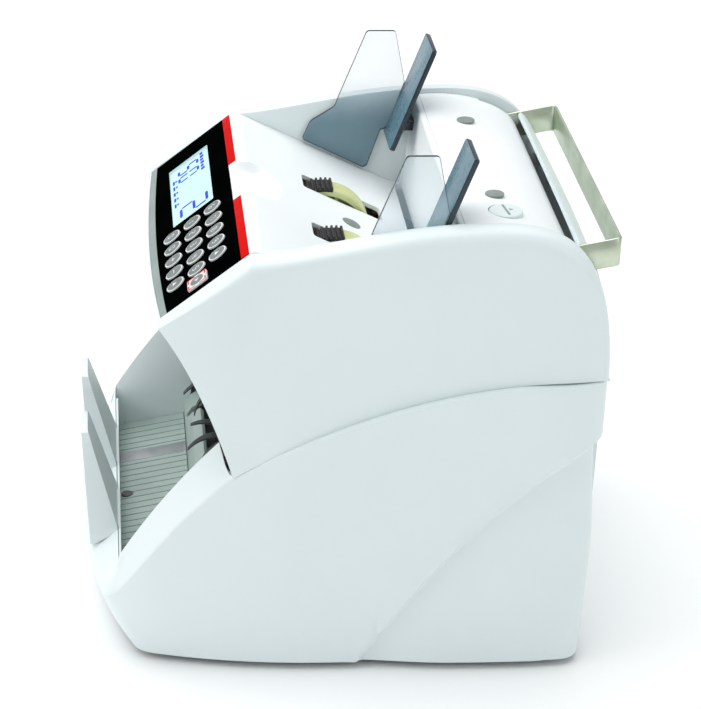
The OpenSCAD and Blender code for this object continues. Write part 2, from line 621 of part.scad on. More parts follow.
module impeller_wheel() {
  difference() {
    union() {
      circle(r = hub_r);
      // flat vanes that leave the hub at a slant
      intersection() {
        circle(r = vane_r);
        for (k = [0:vane_count - 1]) rotate(360 * k / vane_count + 9) translate([0.7 * hub_r, 0])
          rotate(vane_slant) translate([0, -vane_t / 2]) square([vane_r, vane_t]);
      }
    }
    circle(r = shaft_r + 0.02);
  }
}
module impeller_wheels() {
  color([0.16, 0.20, 0.18]) for (x = [-31, 31])
    translate([x - wheel_w / 2, impeller_axis[0], impeller_axis[1]])
    rotate([90, 0, 90]) linear_extrude(wheel_w) impeller_wheel();
}
module motor() {
  color([0.3, 0.3, 0.32]) {
    difference() {
      rod(24, -92, -44, motor_axis[0], motor_axis[1]);
      rod(3.3, -93, -80, motor_axis[0], motor_axis[1]);
    }
    translate([-88, motor_axis[0] - 20, 6.6]) cube([40, 40, 34]);
  }
}
module motor_pulley() {
  color([0.2, 0.2, 0.22]) {
    rod(motor_pulley_r, pulley_x[0], pulley_x[1], motor_axis[0], motor_axis[1]);
    rod(3, -97.5, -84, motor_axis[0], motor_axis[1]);
  }
}
// flat belt around a list of pulleys, given as [centre, radius]
belt_gap = 0.25;
belt_t = 1.1;
belt_loop = [[motor_axis, motor_pulley_r], [impeller_axis, impeller_pulley_r], [feed_axis, feed_pulley_r],
             [transport_axis, transport_pulley_r]];
module belt_outline(grow) {
  hull() for (p = belt_loop) translate(p[0]) circle(r = p[1] + grow);
}
module drive_belt() {
  color(rubber_black) side_prism(pulley_x[0] + 0.6, pulley_x[1] - 0.6) difference() {
    belt_outline(belt_gap + belt_t);
    belt_outline(belt_gap);
  }
}

// ---- note guides --------------------------------------------------------------------------
wing_t = 2;
guide_gap = 0.6;
rail_at = [62, 210.8];
module note_guide() {
  x1 = inner_half - guide_gap;
  // wing beside the notes
  side_prism(x1 - wing_t, x1) polygon([[23.3, guide_top - 1], [24.5, guide_top], [38, guide_top],
    [39, guide_top - 1], [44.6, 230.4], [36.4, 206], [34.4, 204.4], [32.8, 204.4], [26.2, 184.2], [24.2, 183],
    [-7.6, 198.6], [-8.4, 199.8], [-4.5, 209.2], [8.2, 217.4], [9.8, 222.6]]);
  // back plate that leans with the notes
  side_prism(x1 - 29, x1) polygon([[34.3, 202.6], [55, guide_top], [58, guide_top - 0.8], [37.2, 201.6]]);
  // foot through the slot of the tray, with the collar that runs on the rail
  translate([x1 - 14, 38.4, 208.2]) cube([12, 17.2, 5.2]);
  difference() {
    translate([x1 - 22, 55.4, 205.6]) cube([20, 12.8, 10.4]);
    rod(3.05, 40, 100, rail_at[0], rail_at[1]);
  }
}
module note_guide_right() color(smoke) note_guide();
module note_guide_left() color(smoke) mirror([1, 0, 0]) note_guide();
rack_z = 203.4;
pinion_r = 6;
pinion_teeth = 12;
pinion_at = [0, 74];
tooth_pitch = 2 * PI * pinion_r / pinion_teeth;
rack_end = inner_half - guide_gap - 4;
module rack(y_face, toward) {
  // bar with teeth on the side that faces the pinion
  translate([-9, y_face + (toward > 0 ? -5 : 1), rack_z - 1.6]) cube([rack_end + 9, 4, 3.2]);
  for (k = [-3:11]) translate([(k + 0.5) * tooth_pitch, y_face, rack_z - 1.6]) linear_extrude(3.2)
    polygon([[-0.95, -toward * 1.1], [-0.45, toward * 1.0], [0.45, toward * 1.0], [0.95, -toward * 1.1]]);
}
module guide_rack_right() {
  color([0.7, 0.7, 0.68]) {
    rack(pinion_at[1] - pinion_r - 0.5, 1);
    translate([rack_end - 16, 56, rack_z - 1.6]) cube([16, 10.4, 3.8]);
  }
}
module guide_rack_left() {
  color([0.7, 0.7, 0.68]) mirror([1, 0, 0]) {
    rack(pinion_at[1] + pinion_r + 0.5, -1);
    translate([rack_end - 16, 56, rack_z - 1.6]) cube([16, 28, 3.8]);
  }
}
module guide_pinion() {
  color([0.8, 0.8, 0.75]) translate([pinion_at[0], pinion_at[1], rack_z - 1.6]) difference() {
    linear_extrude(3.2) {
      circle(r = pinion_r - 1.4);
      for (k = [0:pinion_teeth - 1]) rotate(360 * k / pinion_teeth)
        polygon([[pinion_r - 1.8, -0.95], [pinion_r + 0.6, -0.35], [pinion_r + 0.6, 0.35],
          [pinion_r - 1.8, 0.95]]);
    }
    translate([0, 0, -1]) cylinder(r = 2.05, h = 8);
  }
}
module guide_rail() {
  color(steel) {
    rod(3, -frame_x[0], frame_x[0], rail_at[0], rail_at[1]);
    // bracket with the pinion's post
    difference() {
      translate([-12, 60, 196]) cube([24, 28, 2]);
      translate([0, 66, 190]) cylinder(r = 2, h = 10);
    }
    translate([pinion_at[0], pinion_at[1], 196]) cylinder(r = 2, h = 10.4);
    both_sides() translate([11, 84, 196]) cube([84, 4, 2]);
    both_sides() translate([94.05, 58, 196]) cube([0.9, 30, 18]);
  }
}

// ---- handle, knob, separator --------------------------------------------------------------
handle_in = handle_half - handle_t;
module carry_handle() {
  color([0.62, 0.62, 0.52]) {
    both_sides() difference() {
      side_prism(handle_in, handle_half) polygon([[98.5, 203.2], [98.5, 212.6], [124, 217.6], [126, 217.4],
        [126, 203.8], [124, 203.2], [108, 200.6]]);
      rod(handle_pin_r + 0.05, 80, 100, handle_pivot[0], handle_pivot[1]);
    }
    side_prism(-handle_half, handle_half)
      polygon([[124.5, 203.2], [124.5, 217.6], [126, 217.4], [126, 203.8]]);
  }
}
module adjust_knob() {
  color(shell_white) translate([knob_at[0], knob_at[1], deck_z - 1.6]) difference() {
    union() {
      cylinder(r1 = 8, r2 = 7.7, h = 2.8);
      translate([0, 0, -8]) cylinder(r = 4, h = 8.2);
      translate([0, 0, -46]) cylinder(r = 2.5, h = 40);
    }
    translate([-9, -0.6, 1.9]) cube([18, 1.2, 2]);
  }
}
module separator_block() {
  color([0.35, 0.36, 0.38]) difference() {
    union() {
      translate([knob_at[0] - 8, knob_at[1] - 7, 180.5]) cube([16, 14, 10]);
      translate([-42, knob_at[1] - 5, 182]) cube([106, 10, 4]);
      for (x = [-feed_x, feed_x]) translate([x - 6, 52.5, 178]) cube([12, 18, 5.5]);
    }
    translate([knob_at[0], knob_at[1], 170]) cylinder(r = 2.56, h = 30);
  }
}

// ---- electrics ----------------------------------------------------------------------------
module main_board() {
  color([0.05, 0.35, 0.18]) difference() {
    translate([-20, -10, 22]) cube([100, 90, 1.6]);
    for (x = [-15, 75], y = [-5, 75]) translate([x, y, 20]) cylinder(r = 1.6, h = 6);
  }
  color([0.1, 0.1, 0.1]) {
    translate([0, 10, 23.6]) cube([22, 22, 2.4]);
    translate([40, 16, 23.6]) cube([14, 30, 3]);
    translate([8, 58, 23.6]) cube([44, 6, 8]);
  }
  color(steel) for (y = [0, 50]) translate([70, y, 23.6]) cylinder(r = 5, h = 14);
  color(steel) for (x = [-15, 75], y = [-5, 75]) translate([x, y, 6.6]) cylinder(r = 3, h = 15.4);
}
module transformer() {
  color([0.45, 0.44, 0.42]) translate([0, 84, 6.6]) cube([46, 18, 38]);
  color([0.6, 0.35, 0.15]) translate([8, 81.5, 12]) cube([30, 23, 27]);
}
module power_inlet() {
  color([0.06, 0.06, 0.06]) difference() {
    translate([inlet_at[0] - 13.8, 104, inlet_at[1] - 9.8]) cube([27.6, 16, 19.6]);
    translate([inlet_at[0] - 11.4, 108, inlet_at[1] - 6.6]) cube([22.8, 20, 13.2]);
  }
  // bezel and pivot pin of the rocker
  color([0.06, 0.06, 0.06]) {
    for (x = [-9.8, 8.3]) translate([switch_at[0] + x, 108, switch_at[1] - 6.6]) cube([1.5, 12, 13.2]);
    translate([switch_at[0] - 9.8, 106, inlet_at[1] + 9.8]) cube([19.6, 2.2, 26.8]);
    rod(1, switch_at[0] - 9.8, switch_at[0] + 9.8, 118.6, switch_at[1]);
  }
  color(steel) for (x = [-6, 0, 6])
    translate([inlet_at[0] + x - 0.9, 107.5, inlet_at[1] - 1.5]) cube([1.8, 9, 3]);
}
module power_switch() {
  color([0.08, 0.08, 0.08]) translate([switch_at[0], 118.6, switch_at[1]])
    rotate([0, 90, 0]) difference() {
      translate([0, 0, -8]) linear_extrude(16)
        polygon([[-5.6, -4.6], [5.6, -4.6], [6, 1], [0, 2.4], [-6, 3.4]]);
      translate([0, 0, -20]) cylinder(r = 1.05, h = 40);
    }
}
module cover_screws() {
  color(steel) for (x = [-84, 84], z = [30, 130]) translate([x, 119.4, z]) rotate([-90, 0, 0]) difference() {
    union() {
      cylinder(r = 3, h = 2.2);
      translate([0, 0, -8]) cylinder(r = 1.5, h = 8.1);
    }
    translate([0, 0, 1.2]) for (a = [0, 90]) rotate(a) cube([3.6, 0.7, 2.4], center = true);
  }
}
module deck_plugs() {
  color([0.5, 0.54, 0.53]) both_sides() translate([plug_at[0], plug_at[1], deck_z - 0.9]) {
    translate([0, 0, 0.7]) cylinder(r = 4.6, h = 0.9);
    translate([0, 0, -4]) cylinder(r = 3, h = 4.5);
  }
}

base_plate();
rubber_feet();
lower_housing();
rear_cover();
upper_cover();
hopper_tray();
rear_deck();
control_panel();
stripe_trim();
panel_edge_trim();
lcd_display();
panel_board();
stacker_fence();
stacker_floor();
stacker_strips();
sensor_lenses();
stacker_comb();
side_frames();
shaft_bushes();
guide_rail();
main_board();
transformer();
power_inlet();
cover_screws();
deck_plugs();
motor();
motor_pulley();
feed_shaft();
feed_rollers();
feed_tyres();
transport_shaft();
transport_rollers();
impeller_shaft();
impeller_wheels();
drive_belt();
note_guide_left();
note_guide_right();
guide_pinion();
guide_rack_left();
guide_rack_right();
carry_handle();
adjust_knob();
separator_block();
power_switch();
key_start();
for (i = [1:15]) panel_key(i);
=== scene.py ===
"""Banknote counting machine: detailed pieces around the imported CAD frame, with floor, light and camera."""
import json
import math

import bmesh
import bpy
from mathutils import Matrix, Vector


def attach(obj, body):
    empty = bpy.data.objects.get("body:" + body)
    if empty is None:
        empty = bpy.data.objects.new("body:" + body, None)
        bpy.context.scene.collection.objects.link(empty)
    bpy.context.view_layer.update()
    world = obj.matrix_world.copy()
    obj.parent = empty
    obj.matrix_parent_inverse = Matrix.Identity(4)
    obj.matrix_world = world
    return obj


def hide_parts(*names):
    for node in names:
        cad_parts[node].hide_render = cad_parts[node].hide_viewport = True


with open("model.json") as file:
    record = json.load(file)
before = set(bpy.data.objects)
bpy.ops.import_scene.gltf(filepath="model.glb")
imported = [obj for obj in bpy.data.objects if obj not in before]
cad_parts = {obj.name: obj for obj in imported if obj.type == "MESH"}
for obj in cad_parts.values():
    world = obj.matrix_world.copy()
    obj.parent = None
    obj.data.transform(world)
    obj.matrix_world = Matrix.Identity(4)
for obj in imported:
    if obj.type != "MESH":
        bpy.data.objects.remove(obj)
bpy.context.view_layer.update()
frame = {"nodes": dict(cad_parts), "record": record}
MM = 0.001
record = frame["record"]
BODY_OF = {n: b for b, nodes in record["behaviour"]["bodies"].items() for n in nodes}
SLOT_OF = {s["node"]: s["material_slot"] for s in record["subparts"]}


# ---- materials ----------------------------------------------------------------------------
def grain(nodes, links, coords, scale, detail=3.0, rough=0.6):
    n = nodes.new("ShaderNodeTexNoise")
    n.inputs["Scale"].default_value = scale
    n.inputs["Detail"].default_value = detail
    n.inputs["Roughness"].default_value = rough
    links.new(coords.outputs["Object"], n.inputs["Vector"])
    return n


def ramp(nodes, links, source, low, high, a=0.35, b=0.65):
    r = nodes.new("ShaderNodeValToRGB")
    r.color_ramp.elements[0].position, r.color_ramp.elements[1].position = a, b
    r.color_ramp.elements[0].color = (*low, 1)
    r.color_ramp.elements[1].color = (*high, 1)
    links.new(source, r.inputs["Fac"])
    return r


def material(name, low, high, rough=(0.4, 0.5), scale=60, fine=2200, bump=0.03, depth=0.00006, **sockets):
    """Moulded or metal surface: colour drift between low and high, uneven gloss and a fine grain."""
    m = bpy.data.materials.new(name)
    m.use_nodes = True
    nodes, links = m.node_tree.nodes, m.node_tree.links
    shader = nodes["Principled BSDF"]
    coords = nodes.new("ShaderNodeTexCoord")
    drift = grain(nodes, links, coords, scale)
    colour = ramp(nodes, links, drift.outputs["Fac"], low, high)
    links.new(colour.outputs["Color"], shader.inputs["Base Color"])
    small = grain(nodes, links, coords, fine, 2.0)
    gloss = nodes.new("ShaderNodeMapRange")
    gloss.inputs["From Min"].default_value, gloss.inputs["From Max"].default_value = 0.3, 0.7
    gloss.inputs["To Min"].default_value, gloss.inputs["To Max"].default_value = rough
    links.new(grain(nodes, links, coords, scale * 5).outputs["Fac"], gloss.inputs["Value"])
    links.new(gloss.outputs["Result"], shader.inputs["Roughness"])
    b = nodes.new("ShaderNodeBump")
    b.inputs["Strength"].default_value = bump
    b.inputs["Distance"].default_value = depth
    links.new(small.outputs["Fac"], b.inputs["Height"])
    links.new(b.outputs["Normal"], shader.inputs["Normal"])
    for key, value in sockets.items():
        shader.inputs[key.replace("_", " ")].default_value = value
    return m


def brushed(name, low, high, stretch, rough=(0.28, 0.42), bump=0.15):
    """Metal with fine lines along one direction: stretch scales the noise per axis."""
    m = material(name, low, high, rough, 50, 900, 0.02, Metallic=1.0)
    nodes, links = m.node_tree.nodes, m.node_tree.links
    coords = next(n for n in nodes if n.type == "TEX_COORD")
    mapping = nodes.new("ShaderNodeMapping")
    mapping.inputs["Scale"].default_value = stretch
    lines = nodes.new("ShaderNodeTexNoise")
    lines.inputs["Scale"].default_value = 1.0
    lines.inputs["Detail"].default_value = 4.0
    links.new(coords.outputs["Object"], mapping.inputs["Vector"])
    links.new(mapping.outputs["Vector"], lines.inputs["Vector"])
    b = next(n for n in nodes if n.type == "BUMP")
    b.inputs["Strength"].default_value = bump
    b.inputs["Distance"].default_value = 0.00005
    links.new(lines.outputs["Fac"], b.inputs["Height"])
    return m


M = {
    "shell": material("shell_white", (0.735, 0.81, 0.82), (0.76, 0.83, 0.84), (0.34, 0.42), 14, 2600, 0.05),
    # tray_white_painted_light is lighter than shell_white: painted light that lifts the hopper floor, its
    # walls and the deck above the shade the guides cast on them
    "tray": material("tray_white_painted_light", (0.86, 0.895, 0.905), (0.88, 0.91, 0.92), (0.38, 0.46), 16, 2600, 0.06),
    "panel_black": material("fascia_black", (0.0005, 0.0007, 0.0007), (0.0012, 0.0015, 0.0015), (0.5, 0.6),
                            40, Specular_IOR_Level=0.0),
    "stripe_red": material("stripe_red", (0.56, 0.0004, 0.0), (0.62, 0.0008, 0.0004), (0.45, 0.55), 40,
                           Specular_IOR_Level=0.04),
    "trim_grey": material("trim_grey", (0.24, 0.30, 0.29), (0.28, 0.34, 0.33), (0.38, 0.5), 50),
    "lcd": material("lcd_glass", (0.52, 0.78, 0.79), (0.56, 0.82, 0.83), (0.08, 0.16), 40, 1200, 0.01,
                    Emission_Color=(0.54, 0.82, 0.83, 1), Emission_Strength=0.12),
    "lcd_ink": material("lcd_segments", (0.01, 0.035, 0.60), (0.02, 0.06, 0.70), (0.3, 0.4), 200,
                        Specular_IOR_Level=0.2),
    "board_green": material("board_green", (0.01, 0.12, 0.05), (0.02, 0.18, 0.08), (0.3, 0.45), 120, 1500,
                            0.2),
    # pocket_grey is a darker copy of the white body's colour: painted shade for the pocket's mostly shaded
    # surfaces
    "pocket_grey": material("pocket_grey", (0.42, 0.51, 0.475), (0.47, 0.56, 0.525), (0.42, 0.52), 30,
                            2200, 0.06),
    "steel": brushed("plated_steel", (0.42, 0.43, 0.44), (0.52, 0.53, 0.54), (300, 2500, 300)),
    "lens": material("lens_smoke", (0.05, 0.06, 0.06), (0.09, 0.10, 0.10), (0.08, 0.16), 80),
    "bronze": material("bush_bronze", (0.42, 0.26, 0.10), (0.52, 0.34, 0.14), (0.35, 0.5), 90, Metallic=1.0),
    "transformer_grey": material("transformer_iron", (0.12, 0.12, 0.12), (0.18, 0.18, 0.17), (0.4, 0.55), 80,
                                 Metallic=0.8),
    "black_plastic": material("black_plastic", (0.012, 0.012, 0.013), (0.022, 0.022, 0.023), (0.35, 0.5), 60,
                              1800, 0.12),
    "plug_grey": material("plug_grey", (0.20, 0.235, 0.225), (0.25, 0.285, 0.275), (0.4, 0.5), 120),
    "motor_grey": material("motor_paint", (0.045, 0.045, 0.05), (0.07, 0.07, 0.075), (0.35, 0.5), 60,
                           Metallic=0.6),
    "roller_cream": material("roller_cream", (0.56, 0.60, 0.27), (0.64, 0.68, 0.34), (0.4, 0.55), 80, 1800,
                             0.1),
    "rubber_black": material("rubber_black", (0.012, 0.012, 0.012), (0.03, 0.03, 0.03), (0.62, 0.8), 160,
                             1600, 0.35),
    "impeller_green": material("impeller_green", (0.018, 0.028, 0.024), (0.035, 0.048, 0.042), (0.4, 0.6), 90,
                               1700, 0.2),
    "acetal": material("acetal", (0.58, 0.58, 0.54), (0.66, 0.66, 0.62), (0.4, 0.5), 70),
    "handle_metal": brushed("handle_metal", (0.54, 0.60, 0.47), (0.66, 0.71, 0.58), (60, 60, 5200),
                            (0.30, 0.42)),
    "key_grey": material("key_grey", (0.15, 0.17, 0.17), (0.21, 0.23, 0.23), (0.45, 0.6), 300, 1500, 0.2),
    "key_rim": material("key_rim", (0.66, 0.68, 0.68), (0.74, 0.76, 0.76), (0.35, 0.5), 200),
    "key_red": material("key_red", (0.62, 0.01, 0.01), (0.70, 0.02, 0.02), (0.35, 0.5), 200),
    "smoke_clear": material("smoke_clear", (0.26, 0.42, 0.50), (0.32, 0.48, 0.56), (0.10, 0.18), 12, 700,
                            0.01, Alpha=0.30, Specular_IOR_Level=0.3),
    "smoke_deep": material("smoke_deep", (0.125, 0.235, 0.30), (0.135, 0.245, 0.31), (0.22, 0.32), 12, 700,
                           0.01, Alpha=0.84, Specular_IOR_Level=0.25),
    "smoke_edge": material("smoke_edge", (0.010, 0.020, 0.030), (0.02, 0.035, 0.05), (0.12, 0.2), 60, 900,
                           0.02),
}


def fade_upwards(m, dark, pale, z0, z1, alpha0, alpha1):
    """Colour and clearness of the clear guides change with height: deep at the foot and nearly clear at the
    top, where the paler colour is a painted highlight.
    """
    nodes, links = m.node_tree.nodes, m.node_tree.links
    shader = nodes["Principled BSDF"]
    coords = next(n for n in nodes if n.type == "TEX_COORD")
    split = nodes.new("ShaderNodeSeparateXYZ")
    links.new(coords.outputs["Object"], split.inputs["Vector"])
    height = nodes.new("ShaderNodeMapRange")
    height.interpolation_type = "SMOOTHSTEP"
    height.inputs["From Min"].default_value, height.inputs["From Max"].default_value = z0, z1
    links.new(split.outputs["Z"], height.inputs["Value"])
    tint_with_painted_highlight = ramp(nodes, links, height.outputs["Result"], dark, pale, 0.0, 1.0)
    links.new(tint_with_painted_highlight.outputs["Color"], shader.inputs["Base Color"])
    clear = nodes.new("ShaderNodeMapRange")
    clear.inputs["To Min"].default_value, clear.inputs["To Max"].default_value = alpha0, alpha1
    links.new(height.outputs["Result"], clear.inputs["Value"])
    links.new(clear.outputs["Result"], shader.inputs["Alpha"])


# painted highlight: the clear guides turn paler and clearer towards the top
fade_upwards(M["smoke_clear"], (0.14, 0.29, 0.37), (0.62, 0.76, 0.84), 0.206, 0.236, 0.38, 0.16)


# ---- mesh tools -----------------------------------------------------------------------------
def mix(a, b, t):
    return a + (b - a) * t


def clamp01(t):
    return min(1.0, max(0.0, t))


def ease(t):
    u = clamp01(t)
    return u * u * (3 - 2 * u)


def bez2(a, b, c, t):
    return a * (1 - t) ** 2 + b * (2 * t * (1 - t)) + c * t**2


def bez3(a, b, c, d, t):
    return a * (1 - t) ** 3 + b * (3 * t * (1 - t) ** 2) + c * (3 * t * t * (1 - t)) + d * t**3


def pt(*a):
    return Vector(a)


ALONG_X = Matrix(((0, 0, 1, 0), (1, 0, 0, 0), (0, 1, 0, 0), (0, 0, 0, 1)))
ALONG_Y = Matrix(((1, 0, 0, 0), (0, 0, 1, 0), (0, 1, 0, 0), (0, 0, 0, 1)))


def at(x, y, z):
    return Matrix.Translation((x, y, z))


class Build:
    """Vertices in millimetres, faces, and a material number per face."""

    def __init__(self):
        self.verts, self.faces, self.mats = [], [], []

    def add(self, shape, matrix=Matrix(), mat=0):
        base = len(self.verts)
        self.verts += [matrix @ Vector(v) for v in shape[0]]
        flip = matrix.to_3x3().determinant() < 0
        for f in shape[1]:
            f = [i + base for i in f]
            self.faces.append(f[::-1] if flip else f)
            self.mats.append(mat)
        return self


def mirrored(shape):
    return [(-v[0], v[1], v[2]) for v in shape[0]], [f[::-1] for f in shape[1]]


def loft(rings, cap=True):
    n, m = len(rings[0]), len(rings)
    verts = [tuple(p) for r in rings for p in r]
    faces = [(i * n + j, i * n + (j + 1) % n, (i + 1) * n + (j + 1) % n, (i + 1) * n + j)
             for i in range(m - 1) for j in range(n)]
    if cap:
        faces += [tuple(range(n - 1, -1, -1)), tuple(range((m - 1) * n, m * n))]
    return verts, faces


def lathe(profile, steps=72):
    """Closed (radius, height) profile turned about Z."""
    rings = [[(r * math.cos(a), r * math.sin(a), h) for r, h in profile]
             for a in (2 * math.pi * k / steps for k in range(steps))]
    verts, faces = loft(rings, cap=False)
    n = len(profile)
    last = (steps - 1) * n
    faces += [(last + j, last + (j + 1) % n, (j + 1) % n, j) for j in range(n)]
    return verts, faces


def plate(outlines, z0, z1, bevel=0.0, steps=2):
    """Flat plate between two heights, with holes after the first outline and rounded edges."""
    cu = bpy.data.curves.new("plate", "CURVE")
    cu.dimensions, cu.fill_mode = "2D", "BOTH"
    for pts in outlines:
        sp = cu.splines.new("POLY")
        sp.points.add(len(pts) - 1)
        for p, q in zip(sp.points, pts):
            p.co = (q[0], q[1], 0, 1)
        sp.use_cyclic_u = True
    cu.extrude = (z1 - z0) / 2 - bevel
    cu.bevel_depth, cu.bevel_resolution, cu.offset = bevel, steps, -bevel
    ob = bpy.data.objects.new("plate", cu)
    bpy.context.scene.collection.objects.link(ob)
    me = bpy.data.meshes.new_from_object(ob.evaluated_get(bpy.context.evaluated_depsgraph_get()))
    shape = ([(v.co.x, v.co.y, v.co.z + (z0 + z1) / 2) for v in me.vertices],
             [tuple(p.vertices) for p in me.polygons])
    bpy.data.objects.remove(ob)
    bpy.data.curves.remove(cu)
    bpy.data.meshes.remove(me)
    return shape


def rounded(points, radius, steps=5):
    """Closed outline with its corners rounded; radius is one number or one per corner."""
    out, n = [], len(points)
    for i, p in enumerate(points):
        r = radius[i] if isinstance(radius, (list, tuple)) else radius
        p, a, b = Vector(p), Vector(points[i - 1]), Vector(points[(i + 1) % n])
        r = min(r, (a - p).length * 0.49, (b - p).length * 0.49)
        if r < 0.02:
            out.append(tuple(p))
            continue
        s, e = p + (a - p).normalized() * r, p + (b - p).normalized() * r
        out += [tuple(bez2(s, p, e, k / steps)) for k in range(steps + 1)]
    return out


def box_outline(x0, y0, x1, y1, r=0.0, steps=5):
    return rounded([(x0, y0), (x1, y0), (x1, y1), (x0, y1)], r, steps)


def oval(cx, cy, a, b, steps=40):
    return [(cx + a * math.cos(2 * math.pi * k / steps), cy + b * math.sin(2 * math.pi * k / steps))
            for k in range(steps)]


def piece(name, build, mats, node, angle=35, bevel=0.0, stands_for=True, weld=True):
    """Makes the object, smooths it up to the angle, and lets it ride on the node's body."""
    me = bpy.data.meshes.new(name)
    me.from_pydata([tuple(v * MM for v in p) for p in build.verts], [], build.faces)
    for key in mats:
        me.materials.append(M[key])
    me.polygons.foreach_set("material_index", build.mats)
    bm = bmesh.new()
    bm.from_mesh(me)
    if weld:
        bmesh.ops.remove_doubles(bm, verts=bm.verts, dist=1e-6)
    bmesh.ops.recalc_face_normals(bm, faces=bm.faces)
    bm.to_mesh(me)
    bm.free()
    me.polygons.foreach_set("use_smooth", [True] * len(me.polygons))
    me.set_sharp_from_angle(angle=math.radians(angle))
    ob = bpy.data.objects.new(name, me)
    bpy.context.scene.collection.objects.link(ob)
    if bevel:
        soften(ob, bevel)
    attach(ob, BODY_OF[node])
    if stands_for:
        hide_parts(node)
    return ob


def soften(ob, width, steps=2):
    b = ob.modifiers.new("edges", "BEVEL")
    b.width, b.segments, b.limit_method = width * MM, steps, "ANGLE"
    b.angle_limit, b.harden_normals = math.radians(38), True
    b.use_clamp_overlap = True


def refined(node, mats=None, bevel=0.3, angle=33, name=None, pick=None):
    """The CAD node's own form with clean faces and rounded edges."""
    bm = bmesh.new()
    bm.from_mesh(frame["nodes"][node].data)
    bmesh.ops.remove_doubles(bm, verts=bm.verts, dist=3e-6)
    bmesh.ops.dissolve_limit(bm, angle_limit=math.radians(0.6), verts=bm.verts, edges=bm.edges)
    me = bpy.data.meshes.new(name or node + "_finished")
    bm.to_mesh(me)
    bm.free()
    for key in mats or [SLOT_OF[node]]:
        me.materials.append(M[key])
    me.polygons.foreach_set("material_index", [pick(p) if pick else 0 for p in me.polygons])
    me.polygons.foreach_set("use_smooth", [True] * len(me.polygons))
    me.set_sharp_from_angle(angle=math.radians(angle))
    ob = bpy.data.objects.new(name or node + "_finished", me)
    bpy.context.scene.collection.objects.link(ob)
    if bevel:
        soften(ob, bevel)
    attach(ob, BODY_OF[node])
    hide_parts(node)
    return ob


def cut(ob, *shapes):
    """Takes closed shapes out of a piece and bakes the result."""
    for k, shape in enumerate(shapes):
        me = bpy.data.meshes.new("cutter")
        me.from_pydata([tuple(v * MM for v in p) for p in shape[0]], [], shape[1])
        tool = bpy.data.objects.new("cutter", me)
        bpy.context.scene.collection.objects.link(tool)
        bm = bmesh.new()
        bm.from_mesh(me)
        bmesh.ops.remove_doubles(bm, verts=bm.verts, dist=1e-6)
        bmesh.ops.recalc_face_normals(bm, faces=bm.faces)
        bm.to_mesh(me)
        bm.free()
        mod = ob.modifiers.new("cut", "BOOLEAN")
        mod.operation, mod.solver, mod.object = "DIFFERENCE", "EXACT", tool
        baked = bpy.data.meshes.new_from_object(ob.evaluated_get(bpy.context.evaluated_depsgraph_get()))
        ob.modifiers.remove(mod)
        ob.data = baked
        bpy.data.objects.remove(tool)
    ob.data.polygons.foreach_set("use_smooth", [True] * len(ob.data.polygons))
    ob.data.set_sharp_from_angle(angle=math.radians(35))


def move(shape, matrix):
    return [tuple(matrix @ Vector(v)) for v in shape[0]], shape[1]


# ---- shared sizes and curves, in millimetres ------------------------------------------------
INNER = 91.5
WALL = 2.4
FOOT = 4.0
NOSE, PANEL_BACK = pt(-89, 179.4), pt(-46.6, 212.5)
CROWN, SEAM_END, ARCH_FOOT = pt(60, 226.6), pt(123, 150.5), pt(-53.9, 105.4)
SLOPE = math.tan(math.radians(25.4))
TRAY_HALF = PANEL_HALF = INNER - 0.3
TILT = math.atan2(212.5 - 182.6, -46.6 + 84)
PANEL = Matrix.Translation((0, -84, 182.6)) @ Matrix.Rotation(TILT, 4, "X")
SCOOP_MID, SCOOP_HALF, SCOOP_Y, SCOOP_LONG = -2.6, 21.0, -38.0, 13.0
NOTCH = (SCOOP_MID - SCOOP_HALF - 2, SCOOP_MID + SCOOP_HALF + 1.9)


def seam(t):
    return bez3(ARCH_FOOT, pt(-5, 135), pt(60, 156), SEAM_END, t)


def arch(t):
    return bez2(pt(-85.4, 174.6), pt(-68.7, 151.6), ARCH_FOOT, t)


def rim(s):
    if s < 0.2:
        return mix(NOSE, PANEL_BACK, s / 0.2)
    if s < 0.6:
        return bez3(PANEL_BACK, pt(-20, 213.5), pt(20, 226.6), CROWN, (s - 0.2) / 0.4)
    return bez3(CROWN, pt(100, 228.5), pt(122.5, 216), SEAM_END, (s - 0.6) / 0.4)


def shoulder(s):
    if s < 0.6:
        return bez3(pt(-88.2, 178.4), pt(-52, 207), pt(-10, 212), pt(60, 213.5), s / 0.6)
    return bez3(pt(60, 213.5), pt(100, 214.5), pt(119.5, 203), pt(119.6, 151), (s - 0.6) / 0.4)


def skirt(s):
    return arch(s / 0.16) if s < 0.16 else seam(((s - 0.16) / 0.84) ** 0.85)


def skin_half(p):
    return (104 + 0.055 * (213 - p[1]) - 5.5 * clamp01((-52 - p[0]) / 38) ** 2
            - 4.5 * clamp01((p[0] - 96) / 27) ** 2)


def floor_z(y):
    return 212.5 - (y + 41.2) * SLOPE


# ---- upper cover ------------------------------------------------------------------------------
ARC = [4 + 86 * (i / 14) for i in range(15)]
RIM_POWER = 0.6


